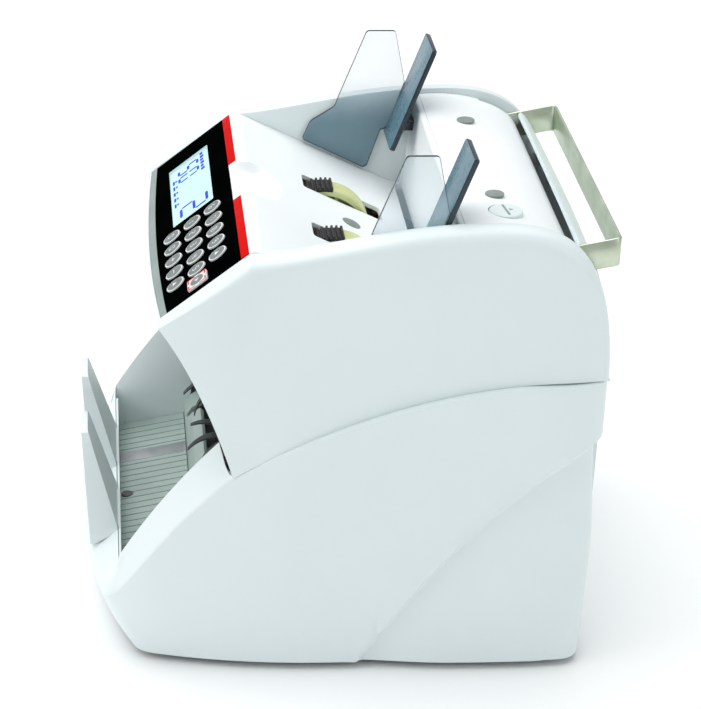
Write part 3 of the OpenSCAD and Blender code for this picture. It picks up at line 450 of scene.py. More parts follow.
def ring_upper(s):
    r, t, b = rim(s), shoulder(s), skirt(s)
    th = mix(0.8, WALL, clamp01(s / 0.12))
    front = 1 - ease((s - 0.2) / 0.08)
    tray = floor_z(r[0]) - 9
    kz = mix(max(b[1] + 2, min(tray, r[1] - 12)), max(b[1], min(117.8, r[1] - 4)), front)
    k = mix(b, r, (kz - b[1]) / max(1, r[1] - b[1]))
    w = skin_half(t) - INNER
    lip = min(1.4, (r[1] - k[1]) * 0.3)
    out = [(INNER, *k), (INNER, r[0], r[1] - lip), (INNER + 0.3 * lip, r[0], r[1] - 0.3 * lip)]
    for a in ARC:
        f = math.radians(a)
        p = mix(r, t, 1 - max(0.0, math.cos(f)) ** RIM_POWER)
        out.append((INNER + max(lip, w * math.sin(f) ** RIM_POWER), *p))
    faces = 9
    out += [(skin_half(p), *p) for p in (mix(t, b, i / faces) for i in range(1, faces + 1))]
    out += [(skin_half(p) - th, *p) for p in (mix(t, b, i / faces) for i in range(faces, 0, -1))]
    for a in ARC[::-1]:
        f = math.radians(a)
        p = mix(r, t, 1 - math.cos(f))
        c = mix(b, p, 0.5)
        q = p + (c - p) * (th / max(1, (c - p).length) * math.cos(f))
        out.append((INNER + min(w - th, max(th, w * math.sin(f) - th * math.sin(f))), *q))
    out.append((INNER + th, *k))
    return out


steps = 150
side = loft([ring_upper(i / steps) for i in range(steps + 1)])
cover = Build().add(side).add(mirrored(side))


def bow(x, r=1500.0):
    return r - math.sqrt(r * r - x * x)


def across(outline, half, n=40):
    """Loft across the machine of an outline that depends on x."""
    return loft([[(x, *p) for p in outline(x)] for x in (mix(-half, half, k / n) for k in range(n + 1))])


def panel_yz(s, n):
    """Height and depth of a point that lies s up the panel's slope and n above it."""
    return tuple((PANEL @ Vector((0, s, n)))[1:])


def fascia_front(x):
    return -0.4 - 3.5 * (1 - (x / PANEL_HALF) ** 2)


def trim_front(x):
    return fascia_front(x) - 3.6 - 0.7 * (1 - (x / PANEL_HALF) ** 2)


def nose_section(x):
    y = -91.6 + bow(x)
    front = (y + 84) / math.cos(TILT)
    lip = min(trim_front(min(abs(x), PANEL_HALF)) - 0.2, -4.0)
    z = panel_yz(front, 0)[1]
    return [(y + 0.2, 174.8), (y, 176.0), (y, z - 0.3), (y + 0.15, z), panel_yz(front + 0.9, 0.06),
            panel_yz(lip, 0.0), panel_yz(lip, -1.5), panel_yz(0.2, -1.75), panel_yz(0.2, -3.0), (-85, 175.4),
            (y + 1.2, 174.4)]


cover.add(across(nose_section, INNER + 0.5))
cross_wall = [tuple(arch(0.8 * i / 14) + pt(1.2, 3.2)) for i in range(15)]
cross_wall += [tuple(arch(0.8 * i / 14) + pt(3.6, 4.4)) for i in range(14, -1, -1)]
cover.add(across(lambda x: cross_wall, INNER + 0.5, 2))
for sx in (-1, 1):
    pivot_x = 88.7 if sx > 0 else -92.0
    cover.add(lathe([(0.01, 0), (2, 0), (2, 3.3), (0.01, 3.3)], 32), at(pivot_x, 104, 208.4) @ ALONG_X)
piece("upper_cover_shell", cover, ["shell"], "upper_cover", angle=42)


# ---- lower housing ------------------------------------------------------------------------------
def cheek_in(t):
    return bez2(pt(-113, 45.6), pt(-90, 85.9), pt(-58.4, 117.2), t)


def ridge(t):
    return bez2(pt(-114.4, 28.6), pt(-91.4, 72.3), ARCH_FOOT, t)


def ridge_half(y):
    if y < -92.8:
        return 107 - 12 * ((-92.8 - y) / 21.6) ** 1.6
    if y < 20:
        return 107 + 5 * math.sin(math.radians(90 * (y + 92.8) / 112.8))
    return 112 - 2 * ((y - 20) / 80) ** 2 - 6 * clamp01((y - 98) / 24) ** 2


def hem_half(y):
    if y < 0:
        return 111.8 - 14.5 * (-y / 98.2) ** 2.2
    return 111.8 + 3.4 * math.sin(math.radians(90 * y / 82)) - 9 * clamp01((y - 92) / 28) ** 2


def swoosh_z(y):
    return 2.5 + 1.666 * (y - 6) - 0.0055 * (y - 6) ** 2


def dent(y, z):
    d = swoosh_z(y) - z
    return 0.0 if y < 4 else (2.6 + 1.4 * ease((y - 60) / 55)) * ease(d / 4) * (1 - ease(d / 65))


def crossing(o, h):
    a, b = 0.0, 1.0
    for _ in range(14):
        m = (a + b) / 2
        p = mix(o, h, m)
        if swoosh_z(p[1]) > p[2]:
            b = m
        else:
            a = m
    return (a + b) / 2


def face_rows(o, h):
    c = min(0.9, max(0.12, crossing(o, h)))
    e = c + min(0.06, (1 - c) / 2)
    return ([0.008, 0.02, 0.045, 0.1] + [mix(0.1, c, k / 7) for k in range(1, 7)]
            + [mix(c, e, k / 6) for k in range(7)] + [mix(e, 1, k / 8) for k in range(1, 9)])


def wall_rows(o, h, n, t, rows):
    out = []
    for u in rows:
        p = mix(o, h, u)
        d = 1.1 * math.sin(math.pi * u) - dent(p[1], p[2]) - t
        out.append((p[0] + n[0] * d, p[1] + n[1] * d, p[2]))
    return out


def ring_wall(i, o, h, n, low, lift=0.4):
    q = mix(i, o, 0.85) + pt(0, 0, lift)
    rows = face_rows(o, h)
    inner = pt(i[0] + WALL * n[0], i[1] + WALL * n[1], i[2] - WALL - 0.6)
    return ([(i[0], i[1], low), tuple(i - pt(0, 0, 0.8)), tuple(mix(i, q, 0.02)), tuple(mix(i, q, 0.35)),
             tuple(mix(i, q, 0.7)), tuple(q), tuple(mix(q, o, 0.55)), tuple(mix(q, o, 0.9))]
            + wall_rows(o, h, n, 0, rows) + wall_rows(o, h, n, WALL, rows[::-1])
            + [tuple(mix(i, o, 0.78) + pt(0, 0, 0.8 * lift - WALL - 0.9)), tuple(inner),
               (inner[0], inner[1], low)])


CORNER_Y, LEDGE_X, CHEEK_START, FRONT_HALF, FENCE_Y = 100, 103.2, 0.12, 88.0, -107.5
SEAM_GAP, CORNER_POWER = 0.45, 0.62


def ring_cheek(f):
    a, b, y = cheek_in(f), ridge(f), mix(-98.2, -40, f)
    inner = pt(INNER, *a) if f < 1 else pt(LEDGE_X, a[0], b[1] + 1.4)
    return ring_wall(inner, pt(ridge_half(b[0]), *b), pt(hem_half(y), y, FOOT), (1, 0),
                     max(28, mix(a[1] - 78, 102, ease((f - 0.84) / 0.1))))


def ring_ledge(g):
    b, y = seam(0.78 * g), mix(-40, CORNER_Y, g)
    i = b - pt(0, SEAM_GAP - 0.2)
    return ring_wall(pt(LEDGE_X, *i), pt(ridge_half(b[0]), b[0], b[1] - SEAM_GAP), pt(hem_half(y), y, FOOT),
                     (1, 0), i[1] - 4.5)


def ring_corner(w):
    e = seam(0.78)
    x1, x2 = ridge_half(e[0]), hem_half(CORNER_Y)
    c, d = max(0.0, math.cos(math.radians(w))), math.sin(math.radians(w))
    n = (c, d)
    zt = mix(e[1], SEAM_END[1], d) - SEAM_GAP
    c, d = c**CORNER_POWER, d**CORNER_POWER
    return ring_wall(pt(INNER + (LEDGE_X - INNER) * c, e[0] + (SEAM_END[0] - 6 - e[0]) * d, zt + 0.4),
                     pt(INNER + (x1 - INNER) * c, e[0] + (SEAM_END[0] - e[0]) * d, zt),
                     pt(INNER + (x2 - INNER) * c, CORNER_Y + (118 - CORNER_Y) * d, FOOT), n, zt - 4.5)


def front_y(x):
    return -126 + x * x / 810


def hem_y(x):
    return -115.4 + x * x / 556


def ring_front(x):
    return ring_wall(pt(x, FENCE_Y, 49), pt(x, front_y(x), 34), pt(x, hem_y(x), FOOT), (0, -1), 28, 2.6)


def ring_turn(w):
    f = CHEEK_START
    a, b, y = cheek_in(f), ridge(f), mix(-98.2, -40, f)
    crest = bez2(pt(FRONT_HALF, front_y(FRONT_HALF), 34), pt(95.5, -116, 33), pt(ridge_half(b[0]), *b), w)
    hem = bez2(pt(FRONT_HALF, hem_y(FRONT_HALF), FOOT), pt(96.5, -100.5, FOOT), pt(hem_half(y), y, FOOT), w)
    return ring_wall(mix(pt(FRONT_HALF, FENCE_Y, 49), pt(INNER, *a), w), crest, hem,
                     (math.sin(math.pi / 2 * w), -math.cos(math.pi / 2 * w)), 28, mix(2.6, 0.4, w))


half = [ring_corner(90 * k / 16) for k in range(16, 0, -1)]
half += [ring_ledge(mix(0.006, 1, k / 70)) for k in range(70, -1, -1)]
half += [ring_cheek(mix(CHEEK_START, 1, k / 36)) for k in range(36, -1, -1)]
half += [ring_turn(k / 10) for k in range(9, 0, -1)]
rings = half + [ring_front(mix(FRONT_HALF, -FRONT_HALF, k / 48)) for k in range(49)]
rings += [[(-q[0], q[1], q[2]) for q in r] for r in half[::-1]]
piece("lower_housing_shell", Build().add(loft(rings)), ["shell"], "lower_housing", angle=42)


# ---- rear cover ---------------------------------------------------------------------------------
def back_line(u):
    if u < 0.45:
        return bez3(pt(106.4, 214.2), pt(113.5, 210), pt(122.5, 190), pt(123, 150.5), u / 0.45)
    return bez3(pt(123, 150.5), pt(121, 120), pt(122.5, 60), pt(117.5, FOOT), (u - 0.45) / 0.55)


SLOT_X, SLOT_LOW = 88.38, 0.26


def back_rows(x, top):
    b, n = 2.6 * (1 - (x / TRAY_HALF) ** 2), 48
    rows = [(back_line(u), b * ease(u * 16 / 5)) for u in (mix(top, 1, i / n) for i in range(n + 1))]
    return b * 0.3, [(p[0] + e, p[1]) for p, e in rows], [(p[0] + e - WALL, p[1]) for p, e in rows[::-1]]


def back_section(x):
    b, outer, inner = back_rows(x, 0)
    return [(105.2 + b, 211.8), (105.5 + b, 213.3)] + outer + inner[:-1] + [(107 + b, 209.4)]


def back_end(x):
    """Section at the sides, which stays low to leave room for the arms of the handle."""
    _, outer, inner = back_rows(x, SLOT_LOW)
    return outer + inner


INLET, SWITCH = (-62, 24), (-62, 54)
back = Build().add(across(back_section, SLOT_X, 36))
for sx in (-1, 1):
    back.add(loft([[(sx * x, *p) for p in back_end(x)] for x in (SLOT_X + 0.02, TRAY_HALF)]))
rear = piece("rear_cover_shell", back, ["shell"], "rear_cover", angle=40)
holes = [box_outline(INLET[0] - 14, INLET[1] - 10, INLET[0] + 14, INLET[1] + 10, 1.5),
         box_outline(SWITCH[0] - 10, SWITCH[1] - 7, SWITCH[0] + 10, SWITCH[1] + 7, 1)]
holes += [box_outline(-40, z, 40, z + 3, 1.45) for z in range(110, 159, 8)]
cut(rear, *[move(plate([hole], 100, 140), ALONG_Y) for hole in holes])


# ---- hopper tray ----------------------------------------------------------------------------------
PANEL_END = pt(-50.4, 209.45)


def ridge_profile(y):
    """Top line of the tray: up the end of the panel, a flat ridge, then the sloping floor."""
    if y < -46.9:
        return mix(PANEL_END[1], 212.2, (y - PANEL_END[0]) / (-46.9 - PANEL_END[0]))
    if y < -41.5:
        return 212.2 + 0.25 * math.sin(math.pi * clamp01((y + 46.9) / 5.4))
    return mix(212.3, floor_z(y), ease((y + 41.5) / 1.2)) if y < -40.3 else floor_z(y)


def scoop(x, y):
    """Depth of the finger scoop under the top line: a trough that ends in a half oval."""
    bottom = mix(209.0, 204.0, (y + 50.4) / 20.4) if y < -30 else mix(204.0, 205.8, (y + 30) / 6)
    across, along = (x - SCOOP_MID) / SCOOP_HALF, max(0.0, y - SCOOP_Y) / SCOOP_LONG
    r = math.hypot(across, along)
    inside = (1 - r) * (SCOOP_HALF * across**2 + SCOOP_LONG * along**2) / r**2 if r > 0.2 else 10
    return max(0.0, ridge_profile(y) - bottom) * math.sin(math.pi / 2 * clamp01(inside / 5.2))


def tray_grid():
    xs = [mix(-TRAY_HALF, -28, k / 12) for k in range(12)] + [mix(-28, 24, k / 104) for k in range(104)]
    xs += [mix(24, TRAY_HALF, k / 12) for k in range(13)]
    ys = [mix(-46.8, -20, k / 60) for k in range(60)] + [mix(-20, 41, k / 24) for k in range(25)]
    n = len(ys)
    top = [(x, y, ridge_profile(y) - scoop(x, y)) for x in xs for y in ys]
    low = [(x, y, ridge_profile(y) - scoop(x, y) - 2.2) for x in xs for y in ys]
    verts, k = top + low, len(top)
    faces = []
    for i in range(len(xs) - 1):
        for j in range(n - 1):
            a = i * n + j
            faces += [(a, a + n, a + n + 1, a + 1), (k + a, k + a + 1, k + a + n + 1, k + a + n)]
        a = i * n
        faces += [(a, k + a, k + a + n, a + n), (a + n - 1, a + 2 * n - 1, k + a + 2 * n - 1, k + a + n - 1)]
    for j in range(n - 1):
        a = (len(xs) - 1) * n + j
        faces += [(j, j + 1, k + j + 1, k + j), (a, k + a, k + a + 1, a + 1)]
    return verts, faces


FEED_X, FEED_AXIS, SLOT_HALF = 31.5, (-2, 172), 8.5
slope_at = Matrix.Rotation(-math.radians(25.4), 4, "X")
floor = piece("hopper_floor", Build().add(tray_grid()), ["tray"], "hopper_tray", angle=40)
cutters = []
for sx in (-1, 1):
    x = sx * FEED_X
    cutters.append(move(plate([box_outline(x - SLOT_HALF, -22.5, x + SLOT_HALF, 22.5, 2.2)], -12, 12),
                        at(0, 7.5, floor_z(7.5)) @ slope_at))
cutters.append(move(plate([oval(0, 0, 5.1, 5.1)], -8, 8), at(0, 9.5, floor_z(9.5)) @ slope_at))
cut(floor, *cutters)

# notch lip between the two lengths of the red stripe
lip = []
for k in range(61):
    x = mix(NOTCH[0] + 0.1, NOTCH[1] - 0.1, k / 60)
    ys = [mix(PANEL_END[0], -46.8, j / 8) for j in range(9)]
    top = [(x, y, ridge_profile(y) - scoop(x, y) - 0.1) for y in ys]
    lip.append(top + [(x, y, z - 2.0) for _, y, z in top[::-1]])
walls = Build().add(loft(lip))
wall_line = rounded([(45.2, 172), (49.5, 222.9), (52.4, 223.3), (47.4, 171.6)], [0, 1.4, 0, 0])
walls.add(move(plate([wall_line], -TRAY_HALF, TRAY_HALF), ALONG_X))
for sx in (-1, 1):
    x0, x1 = sorted((sx * TRAY_HALF, sx * (TRAY_HALF - 2)))
    walls.add(move(plate([[(36, floor_z(36)), (41, 170), (47, 170), (47.4, 182), (45.4, 182), (44, 173.6)]],
                         x0, x1), ALONG_X))
piece("hopper_walls", walls, ["tray"], "hopper_tray", angle=40)


# ---- rear deck --------------------------------------------------------------------------------------
KNOB, DECK_Z = (70, 74), 223.6


def deck_line(t):
    return bez3(pt(52.6, 223.35), pt(72, 225.6), pt(95.5, 220.2), pt(103.3, 209.0), t)


deck_top = [tuple(deck_line(k / 30)) for k in range(31)]
deck_outline = deck_top + [(y - 0.4, z - 2.4) for y, z in deck_top[::-1]]
deck = piece("rear_deck_top", Build().add(move(plate([deck_outline], -TRAY_HALF, TRAY_HALF), ALONG_X)),
             ["tray"], "rear_deck", angle=40)
cut(deck, move(plate([oval(*KNOB, 8.45, 8.45, 64)], 221.9, 240), Matrix()),
    move(plate([oval(*KNOB, 4.4, 4.4)], 200, 240), Matrix()),
    *[move(plate([box_outline(84, 190, 130, 240)], x0, x0 + 3.4), ALONG_X) for x0 in (88.4, -91.8)])

knob = Build()
knob.add(lathe([(0.01, 0), (8.0, 0), (8.1, 0.4), (8.0, 1.7), (7.7, 2.0), (7.0, 2.15), (0.01, 2.2)], 64),
         at(*KNOB, DECK_Z - 1.9))
knob.add(lathe([(0.01, 0), (4, 0), (4, 8.2), (0.01, 8.2)], 40), at(*KNOB, DECK_Z - 9.6))
knob.add(lathe([(0.01, 0), (2.5, 0), (2.5, 41), (0.01, 41)], 32), at(*KNOB, DECK_Z - 47.6))
turn = Matrix.Rotation(math.radians(8), 4, "Z")
knob.add(plate([box_outline(-6.2, -0.55, 6.2, 0.55, 0.4)], 0, 0.12, 0), at(*KNOB, DECK_Z + 0.26) @ turn, 1)
knob.add(plate([[(-1.2, 1.6), (1.2, 1.6), (0, 3.6)]], 0, 0.1, 0), at(*KNOB, DECK_Z + 0.26) @ turn, 1)
piece("adjust_knob_cap", knob, ["shell", "trim_grey"], "adjust_knob", angle=38)

# ---- control panel --------------------------------------------------------------------------------
FASCIA, STRIPE = 1.6, (42.8, 47.2)
LCD = (-74.4, 6.4, 0.4, 31.8)
KEY_X0, KEY_S0, PITCH_X, PITCH_S = 11.2, 5.7, 14.1, 12.5
START = (81.2, KEY_S0 + PITCH_S)


def front_edge(line, shift=0.0, n=24):
    """Bowed edge of a panel strip, from left to right."""
    return [(x, line(x) + shift) for x in (mix(-PANEL_HALF, PANEL_HALF, k / n) for k in range(n + 1))]


def key_at(i):
    return KEY_X0 + (i % 5) * PITCH_X, KEY_S0 + (i // 5) * PITCH_S


KEY_A, KEY_B, START_HALF = 4.9, 5.0, 5.6
fascia = Build()
holes = [oval(*key_at(i), KEY_A + 0.3, KEY_B + 0.3) for i in range(15)]
gap = START_HALF + 0.3
holes.append(box_outline(START[0] - gap, START[1] - gap, START[0] + gap, START[1] + gap, 1.6))
fascia.add(plate([front_edge(fascia_front) + [(PANEL_HALF, STRIPE[0] - 0.1), (-PANEL_HALF, STRIPE[0] - 0.1)],
                  box_outline(*LCD, 0.8)] + holes, -FASCIA, 0, 0.12), PANEL)
piece("fascia_plate", fascia, ["panel_black"], "control_panel", angle=40)

trim = front_edge(trim_front) + front_edge(fascia_front, -0.1)[::-1]
piece("panel_trim", Build().add(plate([trim], -1.2, -0.02, 0.1), PANEL), ["trim_grey"], "panel_edge_trim",
      angle=40)

red = Build()
for x0, x1 in ((-PANEL_HALF, NOTCH[0]), (NOTCH[1], PANEL_HALF)):
    red.add(plate([box_outline(x0, STRIPE[0], x1, STRIPE[1])], -0.8, 0, 0.1), PANEL)
piece("red_stripe", red, ["stripe_red"], "stripe_trim", angle=40)

# display: glass and its figures
SEGMENTS = {"0": "abcdef", "1": "bc", "2": "abged", "3": "abgcd", "4": "fgbc", "5": "afgcd", "6": "afgedc",
            "7": "abc", "8": "abcdefg", "9": "abcfgd"}


def figure(char, x, s, w, h, t):
    """Seven-bar figure with its lower left corner at x, s: a list of outlines."""
    def bar(x0, s0, x1, s1):
        d = (Vector((x1, s1)) - Vector((x0, s0))).normalized()
        n = Vector((-d[1], d[0])) * t / 2
        a, b = Vector((x0, s0)) + d * t * 0.25, Vector((x1, s1)) - d * t * 0.25
        end = d * t / 2
        return [tuple(q) for q in (a, a + end - n, b - end - n, b, b - end + n, a + end + n)]
    spots = {"a": (x, s + h, x + w, s + h), "b": (x + w, s + h / 2, x + w, s + h),
             "c": (x + w, s, x + w, s + h / 2), "d": (x, s, x + w, s), "e": (x, s, x, s + h / 2),
             "f": (x, s + h / 2, x, s + h), "g": (x, s + h / 2, x + w, s + h / 2)}
    return [bar(*spots[k]) for k in SEGMENTS[char]]


glass = Build()
window = box_outline(LCD[0] + 0.1, LCD[1] + 0.1, LCD[2] - 0.1, LCD[3] - 0.1, 0.7)
glass.add(plate([window], -3.1, -0.45, 0.1), PANEL)
ink = []
for k, c in enumerate("50"):
    ink += figure(c, -65.5 + 9.6 * k, 12.6, 6.0, 12.0, 1.5)
ink += figure("2", -16.0, 12.0, 11.0, 16.0, 1.7)
ink += [box_outline(-70.0 + 4.1 * k, 26.4, -67.0 + 4.1 * k, 28.2 + 0.5 * (k % 2), 0.5) for k in range(6)]
ink += [box_outline(-57.5 + 7.6 * k, 8.4, -52.8 + 7.6 * k, 9.6, 0.4) for k in range(5)]
ink += [box_outline(-56.4 + 7.6 * k, 10.0, -54.4 + 7.6 * k, 11.2, 0.4) for k in range(5)]
for o in ink:
    glass.add(plate([o], -0.46, -0.41), PANEL, 1)
piece("lcd_glass", glass, ["lcd", "lcd_ink"], "lcd_display", angle=40)

LABELS = ["0", "0", "", "", "", "1", "2", "3", "4", "5", "6", "7", "8", "9", ""]
for i in range(15):
    x, s = key_at(i)
    node = "key_%d" % (i + 1)
    cap = Build()
    spot = PANEL @ at(x, s, 0)
    cap.add(plate([oval(0, 0, KEY_A, KEY_B)], -3.4, 0.6, 0.3, 3), spot)
    cap.add(plate([oval(0, 0, KEY_A + 0.5, KEY_B + 0.5)], -3.4, -2.5), spot)
    cap.add(plate([oval(0, 0, KEY_A - 0.62, KEY_B - 0.7)], 0.4, 0.75, 0.15, 2), spot, 1)
    if LABELS[i]:
        for o in figure(LABELS[i], -0.9, -1.7, 1.8, 3.4, 0.5):
            cap.add(plate([o], 0.73, 0.79), spot, 2)
    elif i == 2:
        for o in (box_outline(-1.9, -0.25, 1.9, 0.25), box_outline(-0.25, -1.3, 0.25, -0.3),
                  box_outline(-0.25, 0.3, 0.25, 1.3)):
            cap.add(plate([o], 0.73, 0.79), spot, 2)
    elif i == 3:
        cap.add(plate([box_outline(-1.9, -0.25, 1.9, 0.25)], 0.73, 0.79), spot, 2)
    else:
        cap.add(plate([[(-1.6, -1.1), (1.6, -1.1), (0, 1.3)]], 0.73, 0.79), spot, 2)
    piece("key_cap_%d" % (i + 1), cap, ["key_rim", "key_grey", "key_rim"], node, angle=40)

cap = Build()
spot = PANEL @ at(START[0], START[1], 0)
big = START_HALF + 0.5
cap.add(plate([box_outline(-START_HALF, -START_HALF, START_HALF, START_HALF, 1.5)], -3.4, 0.85, 0.3, 3), spot)
cap.add(plate([box_outline(-big, -big, big, big, 1.5)], -3.4, -2.5), spot)
for sx in (-1, 1):
    for sy in (-1, 1):
        c = [(5.2, 5.2), (1.4, 5.2), (1.4, 4.4), (4.4, 4.4), (4.4, 1.2), (5.2, 1.2)]
        c = [(sx * a, sy * b) for a, b in c]
        cap.add(plate([c if sx * sy > 0 else c[::-1]], 0.8, 0.9), spot, 3)
cap.add(plate([oval(0, 0, 3.9, 3.7)], 0.6, 1.0, 0.18, 2), spot, 1)
cap.add(plate([[(-1.0, -1.3), (1.5, 0), (-1.0, 1.3)]], 0.98, 1.03), spot, 2)
piece("key_cap_start", cap, ["key_rim", "key_grey", "key_rim", "key_red"], "key_start", angle=40)

# ---- feed wheels -------------------------------------------------------------------------------------
wheels = Build()
profile = [(4.03, -7), (9, -7), (9.4, -6.6), (9.4, -1.6), (20.6, -1.6), (20.6, -6.5), (21.1, -7), (23.4, -7),
           (24, -6.4), (24, 6.4), (23.4, 7), (21.1, 7), (20.6, 6.5), (20.6, 1.6), (9.4, 1.6), (9.4, 6.6),
           (9, 7), (4.03, 7)]
pads = Build()
for sx in (-1, 1):
    hub = at(sx * FEED_X, *FEED_AXIS) @ ALONG_X
    wheels.add(lathe(profile, 96), hub)
    for k in range(6):
        a = math.radians(60 * k + 12)
        rib = [(9, -0.8), (20.8, -0.8), (20.8, 0.8), (9, 0.8)]
        rib = [(r * math.cos(a) - q * math.sin(a), r * math.sin(a) + q * math.cos(a)) for r, q in rib]
        wheels.add(plate([rib], -5.8, 5.8), hub)
    outline = []
    a0, a1, n = 79.0, 176.0, 18
    for k in range(n):
        a = mix(a0 + 0.8, a1 - 4.4, k / (n - 1))
        for d, r in ((0, 24.5), (0.3, 25.4), (0.7, 25.75), (2.5, 25.75), (2.9, 25.4), (3.3, 24.5)):
            outline.append((r * math.cos(math.radians(a + d)), r * math.sin(math.radians(a + d))))
    outline += [(23.2 * math.cos(math.radians(a)), 23.2 * math.sin(math.radians(a)))
                for a in [mix(a1 - 0.6, a0 + 0.8, k / 24) for k in range(25)]]
    pads.add(plate([outline], -7.15, 7.15, 0.2), hub)
piece("feed_wheels", wheels, ["roller_cream"], "feed_rollers", angle=38)
piece("feed_pads", pads, ["rubber_black"], "feed_tyres", angle=38)

# ---- impeller wheels: thin vanes that curl and narrow towards their tips ------------------------------
VANES, VANE_TIP, VANE_ROOT, HUB_R, SHAFT_R = 12, 26.7, 7.2, 8.5, 4.0


def vane(k):
    """One vane, lofted from root to tip round the wheel's axis."""
    out = []
    for j in range(13):
        u = j / 12
        r, turn_by = mix(VANE_ROOT, VANE_TIP, u), math.radians(360 * k / VANES + 9 + 30 * u**1.35)
        half, thick = mix(3.0, 1.3, u**1.6), mix(0.8, 0.3, u)
        c, q = math.cos(turn_by), math.sin(turn_by)
        corners = ((-thick, -half), (thick, -half), (thick, half), (-thick, half))
        out.append([(r * c - t * q, r * q + t * c, z) for t, z in corners])
    return loft(out)


impellers = Build()
for sx in (-1, 1):
    hub = at(sx * 31, -46, 84) @ ALONG_X
    impellers.add(lathe([(SHAFT_R + 0.03, -3), (HUB_R - 0.4, -3), (HUB_R, -2.6), (HUB_R, 2.6),
                         (HUB_R - 0.4, 3), (SHAFT_R + 0.03, 3)], 48), hub)
    for k in range(VANES):
        impellers.add(vane(k), hub)
piece("impeller_vanes", impellers, ["impeller_green"], "impeller_wheels", angle=38)

# ---- note guides ---------------------------------------------------------------------------------------
GUIDE_TOP, WING_T = 258.6, 2.0
X1 = INNER - 0.6
wing = rounded([(23.3, GUIDE_TOP - 1), (24.5, GUIDE_TOP), (38, GUIDE_TOP), (39, GUIDE_TOP - 1), (44.6, 230.4),
                (36.4, 206), (34.4, 204.4), (32.8, 204.4), (26.2, 184.2), (24.2, 183), (-7.6, 198.6),
                (-8.4, 199.8), (-4.5, 209.2), (8.2, 217.4), (9.8, 222.6)],
               [0.8, 0.8, 0.8, 0.8, 1, 1, 1, 1, 1.2, 1.2, 0.8, 0.8, 1.5, 2, 1])


def clear_plate(build, outline, z0, z1, matrix, bevel=0.35, face_mat=0):
    """Clear plate whose rim is dark: faces that look along the plate's axis are clear."""
    verts, faces = plate([outline], z0, z1, bevel)
    for f in faces:
        a, b, c = (Vector(verts[i]) for i in f[:3])
        up = abs((b - a).cross(c - a).normalized()[2]) > 0.9
        build.add((verts, [f]), matrix, face_mat if up else 1)


def guide(name, node, sx):
    b = Build()
    flip = Matrix.Scale(sx, 4, (1, 0, 0)) if sx < 0 else Matrix()
    clear_plate(b, wing, X1 - WING_T, X1, flip @ ALONG_X)
    lean = math.atan2(GUIDE_TOP - 202.6, 55 - 34.3)
    base = at(0, 34.3 + 1.5, 202.2) @ Matrix.Rotation(lean, 4, "X")
    back = rounded([(X1 - 29, 0), (X1, 0), (X1, 58), (X1 - 29, 58)], [2.5, 0.4, 1.2, 2.5])
    clear_plate(b, back, -1.35, 1.35, flip @ base, 0.5, 2)
    b.add(plate([box_outline(X1 - 14, 38.4, X1 - 2, 53.6, 1.0)], 208.2, 213.4, 0.4), flip, 1)
    b.add(plate([box_outline(X1 - 22, 55.4, X1 - 2, 68.2, 1.0)], 205.6, 216.0, 0.4), flip, 1)
    piece(name, b, ["smoke_clear", "smoke_edge", "smoke_deep"], node, angle=35)


guide("guide_right_clear", "note_guide_right", 1)
guide("guide_left_clear", "note_guide_left", -1)

# ---- carry handle ----------------------------------------------------------------------------------------
OUT, IN = 90.4, 88.9


def handle_height(y):
    t = clamp01((y - 98.5) / 25.5)
    low = mix(203.2, 200.6, clamp01((y - 98.5) / 9.5))
    if y >= 108:
        low = mix(200.6, 203.4, clamp01((y - 108) / 16))
    return low, mix(212.6, 217.6, t)


path = []
for y in [98.5 + 1.2 * k for k in range(20)]:
    path.append(((OUT, y), (IN, y)))
for k in range(1, 9):
    a = math.radians(90 * k / 8)
    path.append(((OUT - 3.2 + 3.2 * math.cos(a), 122.8 + 3.2 * math.sin(a)),
                 (OUT - 3.2 + 1.7 * math.cos(a), 122.8 + 1.7 * math.sin(a))))
cross = [((mix(87.2, -87.2, k / 24), 126.0), (mix(87.2, -87.2, k / 24), 124.5)) for k in range(1, 24)]
path = path + cross + [((-a[0], a[1]), (-b[0], b[1])) for a, b in path[::-1]]
rings = []
for o, i in path:
    lo, hi = handle_height(max(o[1], 98.5))
    m = (Vector(o) + Vector(i)) / 2
    out_mid, in_mid = mix(Vector(o), m, 0.5), mix(Vector(i), m, 0.5)
    rings.append([(o[0], o[1], lo + 0.4), (*out_mid, lo), (*in_mid, lo), (i[0], i[1], lo + 0.4),
                  (i[0], i[1], hi - 0.4), (*in_mid, hi), (*out_mid, hi), (o[0], o[1], hi - 0.4)])
piece("carry_handle_band", Build().add(loft(rings)), ["handle_metal"], "carry_handle", angle=50)

# ---- everything else keeps its CAD form, with rounded edges and its own finish -----------------------------
for node, width in {
    "stacker_fence": 0.7, "stacker_floor": 0.15, "stacker_strips": 0.1, "stacker_comb": 0.5,
    "deck_plugs": 0.35, "rubber_feet": 0.3, "base_plate": 0.2, "side_frames": 0.2,
    "shaft_bushes": 0.2, "guide_rail": 0.2, "power_inlet": 0.4, "cover_screws": 0.15, "motor": 0.8,
    "motor_pulley": 0.3, "feed_shaft": 0.3, "transport_shaft": 0.3, "transport_rollers": 0.6,
    "impeller_shaft": 0.3, "drive_belt": 0.15, "guide_pinion": 0.1, "guide_rack_left": 0.1,
    "guide_rack_right": 0.1,
    "separator_block": 0.3, "power_switch": 0.3, "panel_board": 0.1, "main_board": 0.2, "transformer": 0.3,
}.items():
    refined(node, bevel=width)
refined("sensor_lenses", ["lens", "plug_grey"], 0.25, pick=lambda p: 1 if p.center.z > 0.15 else 0)

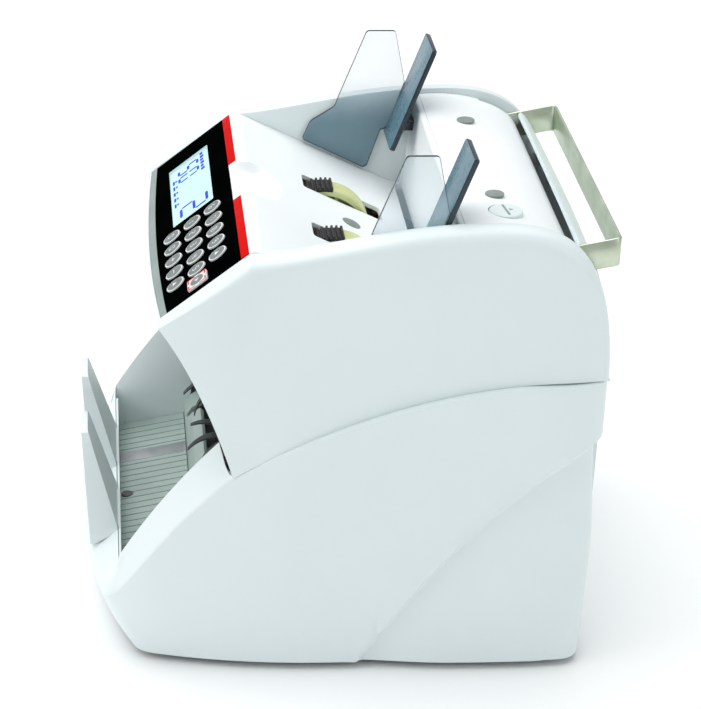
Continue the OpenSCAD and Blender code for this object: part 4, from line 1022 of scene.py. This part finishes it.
# ---- floor, light, camera --------------------------------------------------------------------------------
floor_mat = material("floor_pale", (0.95, 0.955, 0.96), (0.965, 0.97, 0.97), (0.55, 0.7), 3, 400, 0.02)
me = bpy.data.meshes.new("studio_floor")
bm = bmesh.new()
bmesh.ops.create_grid(bm, x_segments=8, y_segments=8, size=8.0)
bm.to_mesh(me)
bm.free()
me.materials.append(floor_mat)
studio = bpy.data.objects.new("studio_floor", me)
scene = bpy.context.scene
scene.collection.objects.link(studio)

world = bpy.data.worlds.new("studio")
world.use_nodes = True
world.node_tree.nodes["Background"].inputs["Color"].default_value = (0.97, 0.99, 1.0, 1)
world.node_tree.nodes["Background"].inputs["Strength"].default_value = 0.50
scene.world = world


def area(name, place, target, size, watts, colour=(1, 1, 1)):
    lamp = bpy.data.lights.new(name, "AREA")
    lamp.shape, lamp.size, lamp.size_y, lamp.energy, lamp.color = "RECTANGLE", size[0], size[1], watts, colour
    ob = bpy.data.objects.new(name, lamp)
    ob.location = place
    ob.rotation_euler = (Vector(target) - Vector(place)).to_track_quat("-Z", "Y").to_euler()
    scene.collection.objects.link(ob)


area("top_softbox", (-0.8, -0.5, 3.0), (0, 0, 0.1), (4.0, 4.0), 100)
area("front_softbox", (0.35, -1.5, 0.9), (0, 0, 0.12), (1.2, 0.9), 7)
area("side_fill", (1.2, 1.3, 1.0), (0, 0, 0.12), (1.0, 0.8), 5, (0.90, 1.0, 0.98))

elevation, yaw, roll = math.radians(25.622), math.radians(6.306), math.radians(2.0)
right = Vector((math.sin(yaw), math.cos(yaw), 0))
up = Vector((-math.sin(elevation) * math.cos(yaw), math.sin(elevation) * math.sin(yaw), math.cos(elevation)))
right, up = right * math.cos(roll) + up * math.sin(roll), up * math.cos(roll) - right * math.sin(roll)
back = right.cross(up)
camera = bpy.data.objects.new("camera", bpy.data.cameras.new("camera"))
camera.matrix_world = Matrix(((right.x, up.x, back.x, 1.115), (right.y, up.y, back.y, -0.112),
                              (right.z, up.z, back.z, 0.6542), (0, 0, 0, 1)))
camera.data.sensor_width = 36
camera.data.lens = 124.33
camera.data.clip_start, camera.data.clip_end = 0.05, 40
scene.collection.objects.link(camera)
scene.camera = camera
scene.view_settings.view_transform = "Standard"
